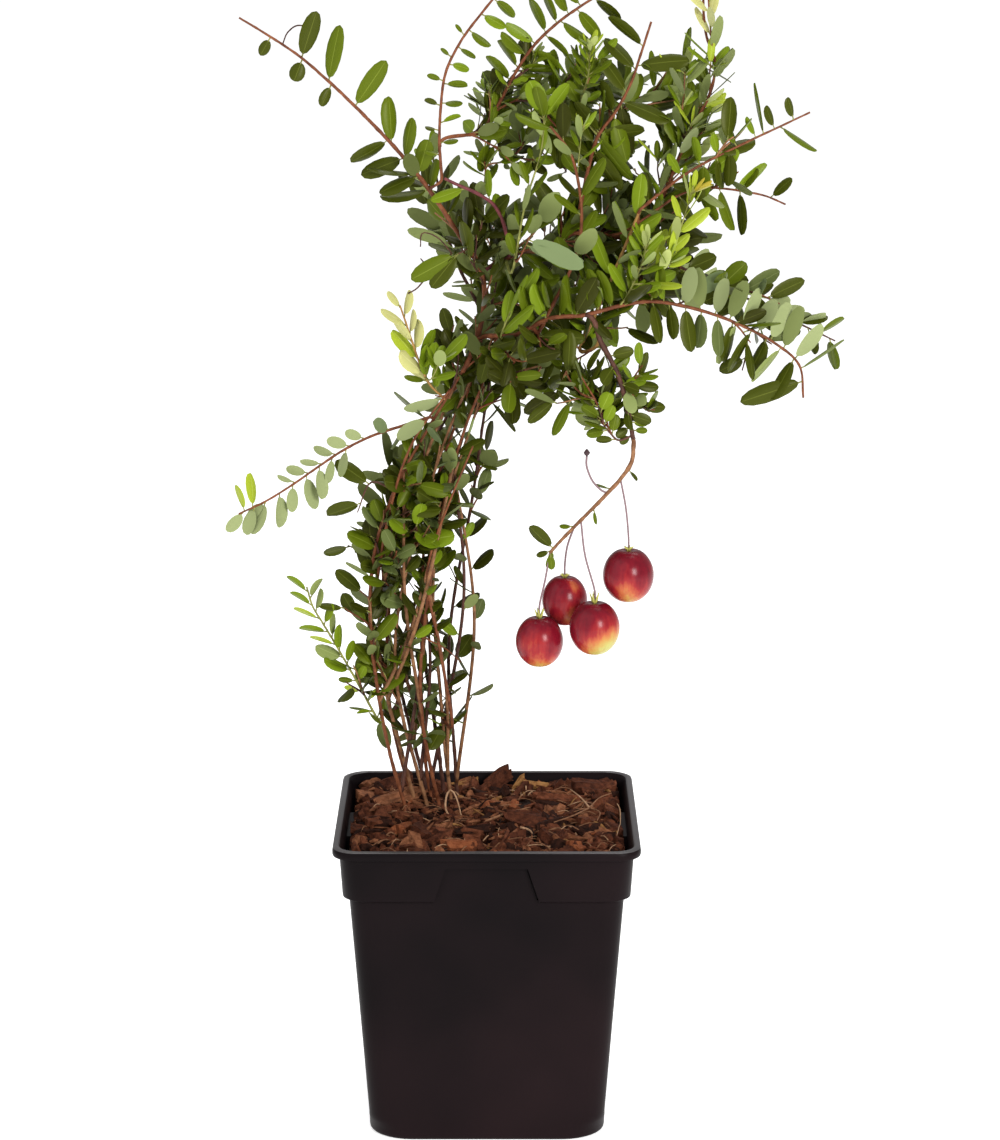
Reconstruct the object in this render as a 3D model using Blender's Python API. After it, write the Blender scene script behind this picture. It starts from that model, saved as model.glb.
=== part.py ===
"""Potted cranberry: a trailing fruit bush in a square nursery pot.

Units are metres, +Z up. The origin is the middle of the pot's underside, and -Y is the front.
Numbers in the calls below are millimetres, which point() and MM turn into metres.
"""
import math
import random

import bmesh
import bpy
from mathutils import Matrix, Vector

MM = 0.001
UP = Vector((0, 0, 1))

# Pot: a square nursery pot with a rolled lip, a straight collar, tapering walls and an upright foot
POT_HEIGHT = 92 * MM
LIP_HALF = 45 * MM
LIP_DROP = 2.8 * MM
LIP_ROUND = 0.8 * MM
COLLAR_TOP_HALF = 43.0 * MM
COLLAR_FOOT_HALF = 42.2 * MM
COLLAR_DROP = 16 * MM
COLLAR_STEP = 1.2 * MM
BODY_TOP_HALF = 40.3 * MM
BODY_FOOT_HALF = 34.6 * MM
FOOT_HEIGHT = 7.5 * MM
FOOT_CHAMFER = 1.4 * MM
WALL = 1.1 * MM
FLOOR = 1.6 * MM
CORNER = 7 * MM
BODY_CORNER = 6.5 * MM
INNER_CORNER = 5.5 * MM
FOOT_CORNER = 12 * MM
CORNER_STEPS = 3
DRAIN_COUNT = 8
DRAIN_RADIUS = 3 * MM
DRAIN_REACH = 24 * MM
DRAIN_STAGGER = 3 * MM

# Panels: in the middle of each side the collar stands back to the body, wider towards its foot
PANEL_TOP = 86.4 * MM
PANEL_TOP_HALF = 12 * MM
PANEL_FOOT_HALF = 15.4 * MM
PANEL_PROUD = 0.15 * MM

# Compost: fills the pot to a little under the lip, flat where the stems stand
GROUND = 88 * MM
COMPOST_GAP = 0.3 * MM
COMPOST_RELIEF = 0.9 * MM
COMPOST_EDGE_DROP = 4 * MM
COMPOST_RINGS = (0.97, 0.88, 0.72, 0.5, 0.25)
HUMP_WIDTH, HUMP_DEPTH, RIPPLE_WIDTH = 7 * MM, 6 * MM, 4 * MM
RIPPLE_SHARE = 0.6
CLUMP = (-17 * MM, 20 * MM)
CLUMP_FLAT = 21 * MM
CLUMP_FADE = 8 * MM

# Stems: a clump that leans left, then arches back to the right into the crown
STEM_COUNT = 10
STEM_FOOT = 0.82 * MM
STEM_TIP = 0.55 * MM
STEM_FLARE = 1.5
FLARE_HEIGHT = 2.2 * MM
STEM_STEPS = 10
RANK_STEP = 3
FOOT_LEFT, FOOT_RIGHT = -25 * MM, -10 * MM
FOOT_DRIFT = 1.5 * MM
FOOT_SPREAD = 9.5 * MM
BULGE_LEFT, BULGE_RIGHT = 19 * MM, 6.5 * MM
BULGE_DRIFT = 2.6 * MM
STEM_SWAY = 1.9 * MM
SWAY_TURN = 2.4
HEAD_DEPTH = 0.80
HEAD_SPREAD = 0.55
HEAD_LEFT, HEAD_RIGHT = -0.80, -0.30
HEAD_LOW, HEAD_LOWEST = -0.45, -0.85

# The heart of the crown, where the stems end
HEART_CENTRE = (6, 0, 233)
HEART_HALF = (21, 18, 16)

# Limbs and leaf masses keep this much air between each other
GAP = 0.35 * MM
SPLIT_GAP = 0.8 * MM
LIMB_STEPS = 7
MASS_WAVES = 5
MASS_LUMPS = 0.05
CROWN_FACETS = (10, 7)
PAD_FACETS = (9, 6)


def point(x, y, z):
    """A point given in millimetres."""
    return Vector((x, y, z)) * MM


def blend(a, b, t):
    return a + (b - a) * t


def clear_scene():
    for obj in list(bpy.data.objects):
        bpy.data.objects.remove(obj)


def new_collection(name):
    group = bpy.data.collections.new(name)
    bpy.context.scene.collection.children.link(group)
    return group


def make_material(name, color, roughness):
    material = bpy.data.materials.new(name)
    material.use_nodes = True
    shader = material.node_tree.nodes["Principled BSDF"]
    shader.inputs["Base Color"].default_value = (*color, 1.0)
    shader.inputs["Roughness"].default_value = roughness
    shader.inputs["Metallic"].default_value = 0.0
    return material


def add_object(name, data, material, group):
    obj = bpy.data.objects.new(name, data)
    obj.data.materials.append(material)
    group.objects.link(obj)
    return obj


def hide_guide(obj):
    obj.hide_render = True
    obj.display_type = "WIRE"


# Pot and compost

def square_ring(bm, half, corner, height):
    """Vertices of a square with round corners, at one height. height may depend on the place."""
    ring = []
    for quarter in range(4):
        turn = math.pi / 2 * quarter
        middle = Vector((half - corner, half - corner))
        for step in range(CORNER_STEPS + 1):
            angle = math.pi / 2 * step / CORNER_STEPS
            flat = middle + corner * Vector((math.cos(angle), math.sin(angle)))
            x = flat.x * math.cos(turn) - flat.y * math.sin(turn)
            y = flat.x * math.sin(turn) + flat.y * math.cos(turn)
            z = height(x, y) if callable(height) else height
            ring.append(bm.verts.new((x, y, z)))
    return ring


def loft(bm, rings):
    """Closed solid through a list of rings, with flat caps on the first and the last."""
    for lower, upper in zip(rings, rings[1:]):
        for i in range(len(lower)):
            j = (i + 1) % len(lower)
            bm.faces.new((lower[i], lower[j], upper[j], upper[i]))
    bm.faces.new(rings[0][::-1])
    bm.faces.new(rings[-1])
    bmesh.ops.recalc_face_normals(bm, faces=bm.faces)


def body_half(z):
    """Half width of the pot's outer body at a height."""
    return blend(BODY_FOOT_HALF, BODY_TOP_HALF, z / (POT_HEIGHT - COLLAR_DROP))


def panel_face(z):
    """Distance of a panel's face from the middle of the pot at a height, a hair proud of the body."""
    return body_half(z) + PANEL_PROUD


def pot_profile():
    """Half width, corner radius and height of each ring, up the outside and down the inside."""
    collar_z = POT_HEIGHT - COLLAR_DROP
    lip_z = POT_HEIGHT - LIP_DROP
    foot_half = body_half(FOOT_HEIGHT)
    outside = [
        (foot_half - FOOT_CHAMFER, FOOT_CORNER, 0.0),
        (foot_half, FOOT_CORNER, FOOT_CHAMFER),
        (foot_half, BODY_CORNER, FOOT_HEIGHT),
        (BODY_TOP_HALF, BODY_CORNER, collar_z - COLLAR_STEP / 2),
        (COLLAR_FOOT_HALF, CORNER, collar_z + COLLAR_STEP / 2),
        (COLLAR_TOP_HALF, CORNER, lip_z - LIP_ROUND / 2),
        (LIP_HALF - LIP_ROUND, CORNER, lip_z),
        (LIP_HALF, CORNER, lip_z + LIP_ROUND),
        (LIP_HALF, CORNER, POT_HEIGHT - LIP_ROUND),
        (LIP_HALF - LIP_ROUND, CORNER, POT_HEIGHT),
    ]
    inside = [
        (COLLAR_TOP_HALF - WALL + LIP_ROUND, BODY_CORNER, POT_HEIGHT),
        (COLLAR_TOP_HALF - WALL, BODY_CORNER, lip_z),
        (COLLAR_FOOT_HALF - WALL, BODY_CORNER, collar_z + COLLAR_STEP / 2),
        (BODY_TOP_HALF - WALL, INNER_CORNER, collar_z - COLLAR_STEP),
        (foot_half - WALL, INNER_CORNER, FOOT_HEIGHT),
        (foot_half - WALL, FOOT_CORNER, FLOOR),
    ]
    return outside + inside


def panel_block(name, side, margin, levels, material, group):
    """A block over one side's panel, wider by a margin. Each level is a height and the distances
    of the block's two faces from the middle of the pot."""
    collar_z = POT_HEIGHT - COLLAR_DROP
    bm = bmesh.new()
    rings = []
    for z, near, far in levels:
        share = (z - collar_z) / (PANEL_TOP - collar_z)
        wide = blend(PANEL_FOOT_HALF, PANEL_TOP_HALF, share) + margin
        corners = ((-wide, near), (wide, near), (wide, far), (-wide, far))
        rings.append([bm.verts.new((x, y, z)) for x, y in corners])
    loft(bm, rings)
    bmesh.ops.rotate(bm, verts=bm.verts, matrix=Matrix.Rotation(math.pi / 2 * side, 3, "Z"))
    mesh = bpy.data.meshes.new(name)
    bm.to_mesh(mesh)
    bm.free()
    block = add_object(name, mesh, material, group)
    hide_guide(block)
    return block


def set_back_panels(pot, material, cutters):
    """On each side a backing is joined inside the collar, and then the panel is cut into both."""
    collar_z = POT_HEIGHT - COLLAR_DROP
    low, under, over = collar_z - 2 * COLLAR_STEP, collar_z - COLLAR_STEP / 2, collar_z + COLLAR_STEP / 2
    top = PANEL_TOP + WALL
    backing_levels = [
        (low, panel_face(low) - WALL, body_half(low) - WALL / 3),
        (under, panel_face(under) - WALL, BODY_TOP_HALF - PANEL_PROUD),
        (over, panel_face(over) - WALL, COLLAR_FOOT_HALF - WALL / 2),
        (top, panel_face(top) - WALL, COLLAR_TOP_HALF - WALL / 2),
    ]
    cutter_levels = [(z, panel_face(z), LIP_HALF) for z in (collar_z - COLLAR_STEP, PANEL_TOP)]
    for side in range(4):
        backing = panel_block(f"panel_backing_{side + 1}", side, WALL, backing_levels, material, cutters)
        combine(pot, backing, "UNION")
        cutter = panel_block(f"panel_cutter_{side + 1}", side, 0.0, cutter_levels, material, cutters)
        combine(pot, cutter, "DIFFERENCE")


def make_pot(material, group, cutters):
    """Shell of lip, collar and body, with panels in the collar and drainage holes in the floor."""
    bm = bmesh.new()
    loft(bm, [square_ring(bm, *size) for size in pot_profile()])
    mesh = bpy.data.meshes.new("pot")
    bm.to_mesh(mesh)
    bm.free()
    pot = add_object("pot", mesh, material, group)
    set_back_panels(pot, material, cutters)
    for i in range(DRAIN_COUNT):
        reach = DRAIN_REACH + (0 if i % 2 else DRAIN_STAGGER)
        angle = math.tau * i / DRAIN_COUNT
        bpy.ops.mesh.primitive_cylinder_add(
            vertices=8, radius=DRAIN_RADIUS, depth=4 * FLOOR,
            location=(reach * math.cos(angle), reach * math.sin(angle), 0))
        hole = bpy.context.object
        hole.name = f"drain_cutter_{i + 1}"
        for home in list(hole.users_collection):
            home.objects.unlink(hole)
        cutters.objects.link(hole)
        hide_guide(hole)
        combine(pot, hole, "DIFFERENCE")
    return pot


def combine(obj, guide, operation):
    """Cuts a guide object out of another object, or joins it to it."""
    change = obj.modifiers.new(guide.name, "BOOLEAN")
    change.operation = operation
    change.solver = "EXACT"
    change.object = guide


def compost_height(x, y):
    """Height of the compost: humps and ripples that hang under its highest level, none near the stems."""
    away = math.hypot(x - CLUMP[0], y - CLUMP[1])
    rough = min(1.0, max(0.0, (away - CLUMP_FLAT) / CLUMP_FADE))
    hump = math.sin(x / HUMP_WIDTH) * math.cos(y / HUMP_DEPTH)
    ripple = RIPPLE_SHARE * math.sin((x - y) / RIPPLE_WIDTH)
    highest = 1 + RIPPLE_SHARE
    return GROUND - COMPOST_GAP - rough * COMPOST_RELIEF * (highest - hump - ripple)


def make_compost(material, group):
    """The pot's filling, a hair clear of its walls, with an uneven top."""
    bm = bmesh.new()
    clear = WALL + COMPOST_GAP
    collar_z = POT_HEIGHT - COLLAR_DROP
    neck_z = GROUND - COMPOST_EDGE_DROP
    neck_half = body_half(neck_z) - clear
    rings = [
        square_ring(bm, body_half(FOOT_HEIGHT) - clear, FOOT_CORNER, FLOOR + COMPOST_GAP),
        square_ring(bm, body_half(FOOT_HEIGHT) - clear, INNER_CORNER, FOOT_HEIGHT),
        square_ring(bm, BODY_TOP_HALF - clear - COMPOST_GAP, INNER_CORNER, collar_z - 2 * COLLAR_STEP),
        square_ring(bm, neck_half, INNER_CORNER, neck_z),
    ]
    for share in COMPOST_RINGS:
        half = neck_half * share
        rings.append(square_ring(bm, half, min(BODY_CORNER, half / 2), compost_height))
    loft(bm, rings)
    mesh = bpy.data.meshes.new("compost")
    bm.to_mesh(mesh)
    bm.free()
    return add_object("compost", mesh, material, group)


# Limbs

def smooth_route(points, steps):
    """Evenly stepped points on a smooth curve that passes through the given ones."""
    ends = [points[0] * 2 - points[1]] + list(points) + [points[-1] * 2 - points[-2]]
    dense = []
    for a, b, c, d in zip(ends, ends[1:], ends[2:], ends[3:]):
        for k in range(12):
            t = k / 12
            dense.append(0.5 * (2 * b + (c - a) * t + (2 * a - 5 * b + 4 * c - d) * t * t
                                + (3 * b - a - 3 * c + d) * t ** 3))
    dense.append(points[-1].copy())
    lengths = [0.0]
    for a, b in zip(dense, dense[1:]):
        lengths.append(lengths[-1] + (b - a).length)
    route = []
    k = 0
    for i in range(steps + 1):
        want = lengths[-1] * i / steps
        while k < len(dense) - 2 and lengths[k + 1] < want:
            k += 1
        share = (want - lengths[k]) / (lengths[k + 1] - lengths[k])
        route.append(dense[k].lerp(dense[k + 1], min(1.0, share)))
    return route


def tube(name, route, radii, material, group):
    """A six-sided tube with closed ends and its own radius at each point."""
    curve = bpy.data.curves.new(name, "CURVE")
    curve.dimensions = "3D"
    curve.bevel_depth = 1.0
    curve.bevel_resolution = 1
    curve.use_fill_caps = True
    curve.render_resolution_u = 0
    spline = curve.splines.new("POLY")
    spline.points.add(len(route) - 1)
    for spot, place, radius in zip(spline.points, route, radii):
        spot.co = (*place, 1.0)
        spot.radius = radius
    return add_object(name, curve, material, group)


class Plant:
    """Collects the limbs and masses, so that later pieces can be cut clear of earlier ones."""

    def __init__(self, bark, leaf, group, cutters):
        self.bark = bark
        self.leaf = leaf
        self.group = group
        self.cutters = cutters
        self.limbs = {}
        self.sleeves = []
        self.lumps = []

    def add_limb(self, name, route, foot, tip, flare=1.0):
        radii = [blend(foot, tip, i / (len(route) - 1)) for i in range(len(route))]
        radii[0] *= flare
        tube(name, route, radii, self.bark, self.group)
        self.limbs[name] = (route, radii)
        self.add_sleeve(name, route, radii)

    def add_sleeve(self, name, route, radii):
        """A slightly fatter and longer copy of a limb, which cuts its way through the masses."""
        back = (route[0] - route[1]).normalized() * GAP
        on = (route[-1] - route[-2]).normalized() * GAP
        longer = [route[0] + back] + route[1:-1] + [route[-1] + on]
        guide = tube(name + "_sleeve", longer, [r + GAP for r in radii], self.bark, self.cutters)
        bpy.context.view_layer.update()
        mesh = bpy.data.meshes.new_from_object(
            guide.evaluated_get(bpy.context.evaluated_depsgraph_get()))
        bpy.data.objects.remove(guide)
        bm = bmesh.new()
        bm.from_mesh(mesh)
        bmesh.ops.remove_doubles(bm, verts=bm.verts, dist=1e-6)
        bmesh.ops.recalc_face_normals(bm, faces=bm.faces)
        bm.to_mesh(mesh)
        bm.free()
        sleeve = add_object(name + "_sleeve", mesh, self.bark, self.cutters)
        hide_guide(sleeve)
        self.sleeves.append(sleeve)

    def spot(self, name, share):
        """The place, radius and direction of a limb at a share of its length."""
        route, radii = self.limbs[name]
        at = share * (len(route) - 1)
        i = min(int(at), len(route) - 2)
        along = (route[i + 1] - route[i]).normalized()
        return route[i].lerp(route[i + 1], at - i), blend(radii[i], radii[i + 1], at - i), along

    def add_bough(self, name, places, foot, tip, steps=LIMB_STEPS):
        route = smooth_route([point(*place) for place in places], steps)
        self.add_limb(name, route, foot * MM, tip * MM)

    def add_side_shoot(self, name, parent, share, places, foot, tip, steps=LIMB_STEPS):
        """A limb that starts a hair clear of its parent's side, at a share of the parent's length."""
        axis, radius, along = self.spot(parent, share)
        goals = [point(*place) for place in places]
        out = (goals[0] - axis).normalized()
        aside = (out - along * out.dot(along)).normalized()
        reach = radius + GAP + foot * MM * abs(out.dot(along))
        route = smooth_route([axis + aside * reach] + goals, steps)
        self.add_limb(name, route, foot * MM, tip * MM)

    def add_next_bough(self, name, parent, places, tip, steps=LIMB_STEPS):
        """A limb that goes on from the end of another, as its next piece after a bend."""
        end, radius, along = self.spot(parent, 1.0)
        route = smooth_route([end + along * SPLIT_GAP] + [point(*place) for place in places], steps)
        self.add_limb(name, route, radius, tip * MM)

    def lump_mesh(self, name, centre, half, rotation, facets, grow):
        """A ball pulled into an uneven lump by a few waves, which the mass's number seeds."""
        dice = random.Random(len(self.lumps))
        waves = []
        for _ in range(MASS_WAVES):
            way = Vector((dice.gauss(0, 1), dice.gauss(0, 1), dice.gauss(0, 1))).normalized()
            waves.append((way * dice.uniform(2.5, 5.5), dice.uniform(0, math.tau)))
        bm = bmesh.new()
        bmesh.ops.create_uvsphere(bm, u_segments=facets[0], v_segments=facets[1], radius=1.0)
        for vert in bm.verts:
            way = vert.co.normalized()
            swell = 1 + MASS_LUMPS * sum(math.sin(wave.dot(way) + phase) for wave, phase in waves)
            size = Vector([swell * extent * MM + grow for extent in half])
            vert.co = rotation @ Vector([way[k] * size[k] for k in range(3)]) + centre
        bmesh.ops.triangulate(bm, faces=bm.faces)
        mesh = bpy.data.meshes.new(name)
        bm.to_mesh(mesh)
        bm.free()
        return mesh

    def add_lump(self, name, *shape):
        """A mass of leaves: an uneven lump, cut clear of the limbs and of the masses before it."""
        mass = add_object(name, self.lump_mesh(name, *shape, 0.0), self.leaf, self.group)
        own = add_object(name + "_space", self.lump_mesh(name + "_space", *shape, GAP), self.leaf,
                         self.cutters)
        hide_guide(own)
        for other in self.sleeves + self.lumps:
            if boxes_meet(mass, other):
                combine(mass, other, "DIFFERENCE")
        keep_largest(mass)
        self.lumps.append(own)

    def add_mass(self, name, centre, half, lean=0, facets=CROWN_FACETS):
        """A mass of the crown. lean turns its top to the right, in degrees."""
        rotation = Matrix.Rotation(math.radians(lean), 3, "Y")
        self.add_lump(name, point(*centre), half, rotation, facets)

    def add_pad(self, name, limb, share, half, offset=(0, 0, 0)):
        """A thinner mass round a limb: half its length, depth and height, and its offset from it."""
        place, _, along = self.spot(limb, share)
        depth = UP.cross(along).normalized()
        if depth.y < 0:
            depth, along = -depth, -along
        rotation = Matrix((along, depth, along.cross(depth))).transposed()
        self.add_lump(name, place + point(*offset), half, rotation, PAD_FACETS)


def boxes_meet(a, b):
    """Whether the boxes round two objects' vertices touch."""
    for axis in range(3):
        a_side = [vert.co[axis] for vert in a.data.vertices]
        b_side = [vert.co[axis] for vert in b.data.vertices]
        if min(a_side) > max(b_side) or min(b_side) > max(a_side):
            return False
    return True


def keep_largest(obj):
    """Apply an object's modifiers and keep only the largest of the lumps that they leave."""
    bpy.context.view_layer.update()
    mesh = bpy.data.meshes.new_from_object(
        obj.evaluated_get(bpy.context.evaluated_depsgraph_get()))
    bm = bmesh.new()
    bm.from_mesh(mesh)
    bmesh.ops.remove_doubles(bm, verts=bm.verts, dist=1e-7)
    islands = []
    unseen = set(bm.verts)
    while unseen:
        stack = [unseen.pop()]
        island = set(stack)
        while stack:
            for edge in stack.pop().link_edges:
                for vert in edge.verts:
                    if vert in unseen:
                        unseen.remove(vert)
                        island.add(vert)
                        stack.append(vert)
        islands.append(island)
    islands.sort(key=len)
    for island in islands[:-1]:
        bmesh.ops.delete(bm, geom=list(island), context="VERTS")
    bmesh.ops.triangulate(bm, faces=bm.faces)
    bm.to_mesh(mesh)
    bm.free()
    obj.modifiers.clear()
    obj.data = mesh


# The plant: first its stems, then the boughs, then the masses, all in millimetres

def stem_route(i):
    """A stem from its flat foot on the compost to its head in the heart of the crown.

    From left to right the stems bulge less and less. Each keeps its own rank from front to back
    all the way, so that they can cross without touching."""
    share = i / (STEM_COUNT - 1)
    rank = 2 * (i * RANK_STEP % STEM_COUNT) / (STEM_COUNT - 1) - 1
    turn = SWAY_TURN * i
    foot = Vector((blend(FOOT_LEFT, FOOT_RIGHT, share) + FOOT_DRIFT * math.sin(turn),
                   CLUMP[1] + FOOT_SPREAD * rank, GROUND))
    way = Vector((blend(HEAD_LEFT, HEAD_RIGHT, share), HEAD_SPREAD * rank,
                  blend(HEAD_LOW, HEAD_LOWEST, share))).normalized()
    head = point(*HEART_CENTRE) + Vector(
        [HEAD_DEPTH * way[k] * HEART_HALF[k] * MM for k in range(3)])
    bulge = blend(BULGE_LEFT, BULGE_RIGHT, share) + BULGE_DRIFT * math.sin(2 * turn)
    ankle = foot + UP * FLARE_HEIGHT
    route = [foot]
    for k in range(STEM_STEPS + 1):
        t = k / STEM_STEPS
        place = ankle.lerp(head, t)
        sway = STEM_SWAY * math.sin(math.tau * t + turn)
        place.x += (sway - bulge) * math.sin(math.pi * t)
        route.append(place)
    return route


def add_stems(plant):
    for i in range(STEM_COUNT):
        plant.add_limb(f"stem_{i + 1:02d}", stem_route(i), STEM_FOOT, STEM_TIP, STEM_FLARE)


def add_boughs(plant):
    """The main boughs: where each starts, the places that it passes, and its tip."""
    plant.add_bough("bough_left_upper", [
        (-3, -6, 259), (-22.5, -11, 288), (-50, -14.5, 316), (-70, -16, 329.5)], 0.95, 0.4, 10)
    plant.add_side_shoot("bough_left_low", "stem_01", 0.9, [
        (-36, -9, 207), (-50, -13, 199), (-61, -17, 192), (-72, -20, 187)], 0.6, 0.35)
    plant.add_side_shoot("bough_low_shoot", "stem_01", 0.28, [
        (-38.5, 5, 129.5), (-46, 2.5, 144), (-52.5, 0.5, 156), (-53.5, -1, 161)], 0.55, 0.35)
    plant.add_side_shoot("bough_young_shoot", "stem_01", 0.94, [
        (-18, -10, 226), (-25, -13, 247)], 0.5, 0.35, 6)
    plant.add_bough("bough_loop_lower", [
        (7, -8, 262), (2.2, -13, 276), (-12, -16, 284)], 0.75, 0.6, 6)
    plant.add_next_bough("bough_loop_upper", "bough_loop_lower", [
        (-13.2, -16.5, 301), (-9, -17, 320), (12, -18, 347)], 0.4)
    plant.add_bough("bough_top_left", [
        (0, -8, 298), (15.6, -10, 323.5), (44, -6, 343)], 0.7, 0.4)
    plant.add_bough("bough_top_centre", [
        (26, -8, 270), (31.5, -14, 295), (39.7, -12, 307), (47, -10, 328)], 0.85, 0.45)
    plant.add_bough("bough_centre", [
        (15, -25, 241), (26.4, -25, 266), (25, -27, 289), (18, -28, 300)], 0.8, 0.45)
    plant.add_bough("bough_golden", [
        (27, -20, 236), (36, -24, 257), (43.4, -26, 275.5)], 0.75, 0.6, 6)
    plant.add_next_bough("bough_right_upper", "bough_golden", [
        (59.6, -22, 287.7), (92, -18, 303)], 0.35)
    plant.add_side_shoot("bough_right_middle", "bough_golden", 0.93, [
        (58.8, -18, 281), (76.5, -14, 279.6), (86, -11, 276)], 0.5, 0.35)
    plant.add_bough("bough_top_right", [
        (47, -6, 268), (57, -7.5, 293), (65.5, -8, 312.5), (62, -8, 328), (62.5, -8, 350)],
        0.75, 0.4, 10)
    plant.add_bough("bough_right_low", [
        (10, -26, 241), (18, -28.5, 245.4), (29.6, -28.5, 246.6), (46, -27.5, 250.2),
        (68, -25, 245), (88.2, -22.5, 233.3), (91.2, -22, 221.5)], 0.9, 0.4, 10)
    plant.add_bough("bough_right_spur", [
        (52, -6, 259), (70, -13, 251.5), (101, -12, 236.5)], 0.6, 0.3)
    plant.add_bough("bough_fruit_upper", [
        (33, -30, 238), (36.9, -31, 231), (39.8, -31, 222), (42, -31, 211)], 0.75, 0.65)
    plant.add_next_bough("bough_fruit_lower", "bough_fruit_upper", [
        (42.4, -32, 207.1), (39.4, -32.5, 201), (31, -33.5, 191.9), (23.4, -34, 184.2),
        (18.2, -34, 178.5)], 0.45)
    plant.add_bough("bough_back_left", [
        (-2, 28, 240), (-11, 38, 258), (-17, 41, 288)], 0.8, 0.4)
    plant.add_bough("bough_back_right", [
        (20, 30, 238), (38, 38, 246), (74, 33, 246)], 0.8, 0.4)
    plant.add_bough("bough_back_low", [
        (4, 32, 228), (-8, 44, 216), (-17, 48, 196)], 0.65, 0.4)


def add_masses(plant):
    """The masses of leaves: centre, half sizes and lean in the crown, then pads on the limbs."""
    mass = plant.add_mass
    mass("foliage_heart", HEART_CENTRE, HEART_HALF, facets=(12, 8))
    mass("foliage_heart_front", (17, -26, 232), (17, 10.5, 12.5), 8)
    mass("foliage_heart_back", (9, 28, 234), (20, 12, 15), -6)
    mass("foliage_left_middle", (-1, -3, 263), (12, 12, 14.5), 12)
    mass("foliage_middle", (22, -5, 263), (13.5, 14, 16), -8)
    mass("foliage_right_middle", (45, -3, 263), (13, 14, 14), 10)
    mass("foliage_back_left", (-3, 24, 263), (14, 13, 15))
    mass("foliage_back_right", (32, 27, 259), (17, 12, 15))
    mass("foliage_top_left", (7, -3, 300), (12.5, 11, 22), 10)
    mass("foliage_top_middle", (31, -1, 304), (12, 12, 24), 10)
    mass("foliage_top_right", (57, -3, 305), (10, 10, 26), 8)
    mass("foliage_top_back", (21, 20, 300), (18, 12.5, 20), 8)
    pad = plant.add_pad
    pad("foliage_right_upper", "bough_right_upper", 0.6, (17, 4, 8))
    pad("foliage_right_low_top", "bough_right_spur", 0.42, (23, 4.5, 7), (0, -6, 0))
    pad("foliage_right_low_foot", "bough_right_low", 0.75, (14, 4.5, 8), (-3, 2, -7))
    pad("foliage_fruit_bough", "bough_fruit_upper", 0.55, (9, 8, 11), (-8, 7, 0))
    pad("foliage_fruit_side", "bough_fruit_upper", 0.5, (9, 5, 6.5), (7, 3, 0))
    pad("foliage_left_upper_root", "bough_left_upper", 0.28, (17, 5, 9))
    pad("foliage_left_upper_tip", "bough_left_upper", 0.68, (17, 4.5, 8))
    pad("foliage_left_low", "bough_left_low", 0.6, (22, 5, 7))
    pad("foliage_column_foot", "stem_01", 0.42, (17, 6, 6), (1, 4, 0))
    pad("foliage_column_front", "stem_02", 0.72, (28, 8, 11), (0, -5, 0))
    pad("foliage_column_right", "stem_10", 0.82, (12, 7, 8), (-2, 0, 0))
    pad("foliage_column_back", "stem_04", 0.66, (28, 7, 10), (0, 3, 0))
    pad("foliage_back_side", "bough_back_right", 0.72, (16, 5, 8))
    pad("foliage_back_spray", "bough_back_left", 0.66, (15, 6, 8))
    pad("foliage_low_shoot", "bough_low_shoot", 0.66, (14, 4, 4.5))
    pad("foliage_back_low", "bough_back_low", 0.62, (13, 5, 6))


def build():
    clear_scene()
    group = new_collection("potted_cranberry")
    cutters = new_collection("cutters")
    plastic = make_material("pot_plastic", (0.019, 0.017, 0.018), 0.42)
    compost = make_material("bark_compost", (0.060, 0.026, 0.016), 0.95)
    bark = make_material("stem_bark", (0.135, 0.052, 0.030), 0.6)
    leaf = make_material("leaf_green", (0.045, 0.105, 0.018), 0.45)
    make_pot(plastic, group, cutters)
    make_compost(compost, group)
    plant = Plant(bark, leaf, group, cutters)
    add_stems(plant)
    add_boughs(plant)
    add_masses(plant)


build()
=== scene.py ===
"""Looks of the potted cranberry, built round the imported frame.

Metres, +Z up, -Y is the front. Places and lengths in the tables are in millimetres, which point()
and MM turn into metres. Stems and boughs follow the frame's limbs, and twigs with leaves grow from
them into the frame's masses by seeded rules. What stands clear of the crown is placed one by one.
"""
import math
import random

import bpy
import numpy as np
from mathutils import Euler, Matrix, Vector


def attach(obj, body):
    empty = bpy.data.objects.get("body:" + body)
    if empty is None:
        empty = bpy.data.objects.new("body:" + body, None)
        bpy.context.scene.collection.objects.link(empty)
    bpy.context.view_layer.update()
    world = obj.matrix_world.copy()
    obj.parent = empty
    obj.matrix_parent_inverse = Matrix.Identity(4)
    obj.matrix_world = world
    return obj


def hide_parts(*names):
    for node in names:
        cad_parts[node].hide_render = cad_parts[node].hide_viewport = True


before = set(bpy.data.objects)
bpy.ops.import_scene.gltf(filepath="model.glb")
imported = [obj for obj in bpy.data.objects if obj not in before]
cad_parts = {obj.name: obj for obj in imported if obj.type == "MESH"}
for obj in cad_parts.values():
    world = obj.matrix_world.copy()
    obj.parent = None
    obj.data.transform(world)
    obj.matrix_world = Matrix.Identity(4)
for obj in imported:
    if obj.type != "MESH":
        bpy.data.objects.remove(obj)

MM = 0.001
UP = Vector((0, 0, 1))

# Camera, solved from the pot's lip, collar and foot: place in metres, dip in degrees
CAMERA_PLACE = (0.0039, -1.055, 0.396)
CAMERA_DIP = 12.3
CAMERA_LENS = 114.8
CAMERA_SENSOR = 36

# How the frame's corners are read: rings of a limb have edges shorter than RING_EDGE
WELD = 5e-6
RING_EDGE = 1.6 * MM

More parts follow.
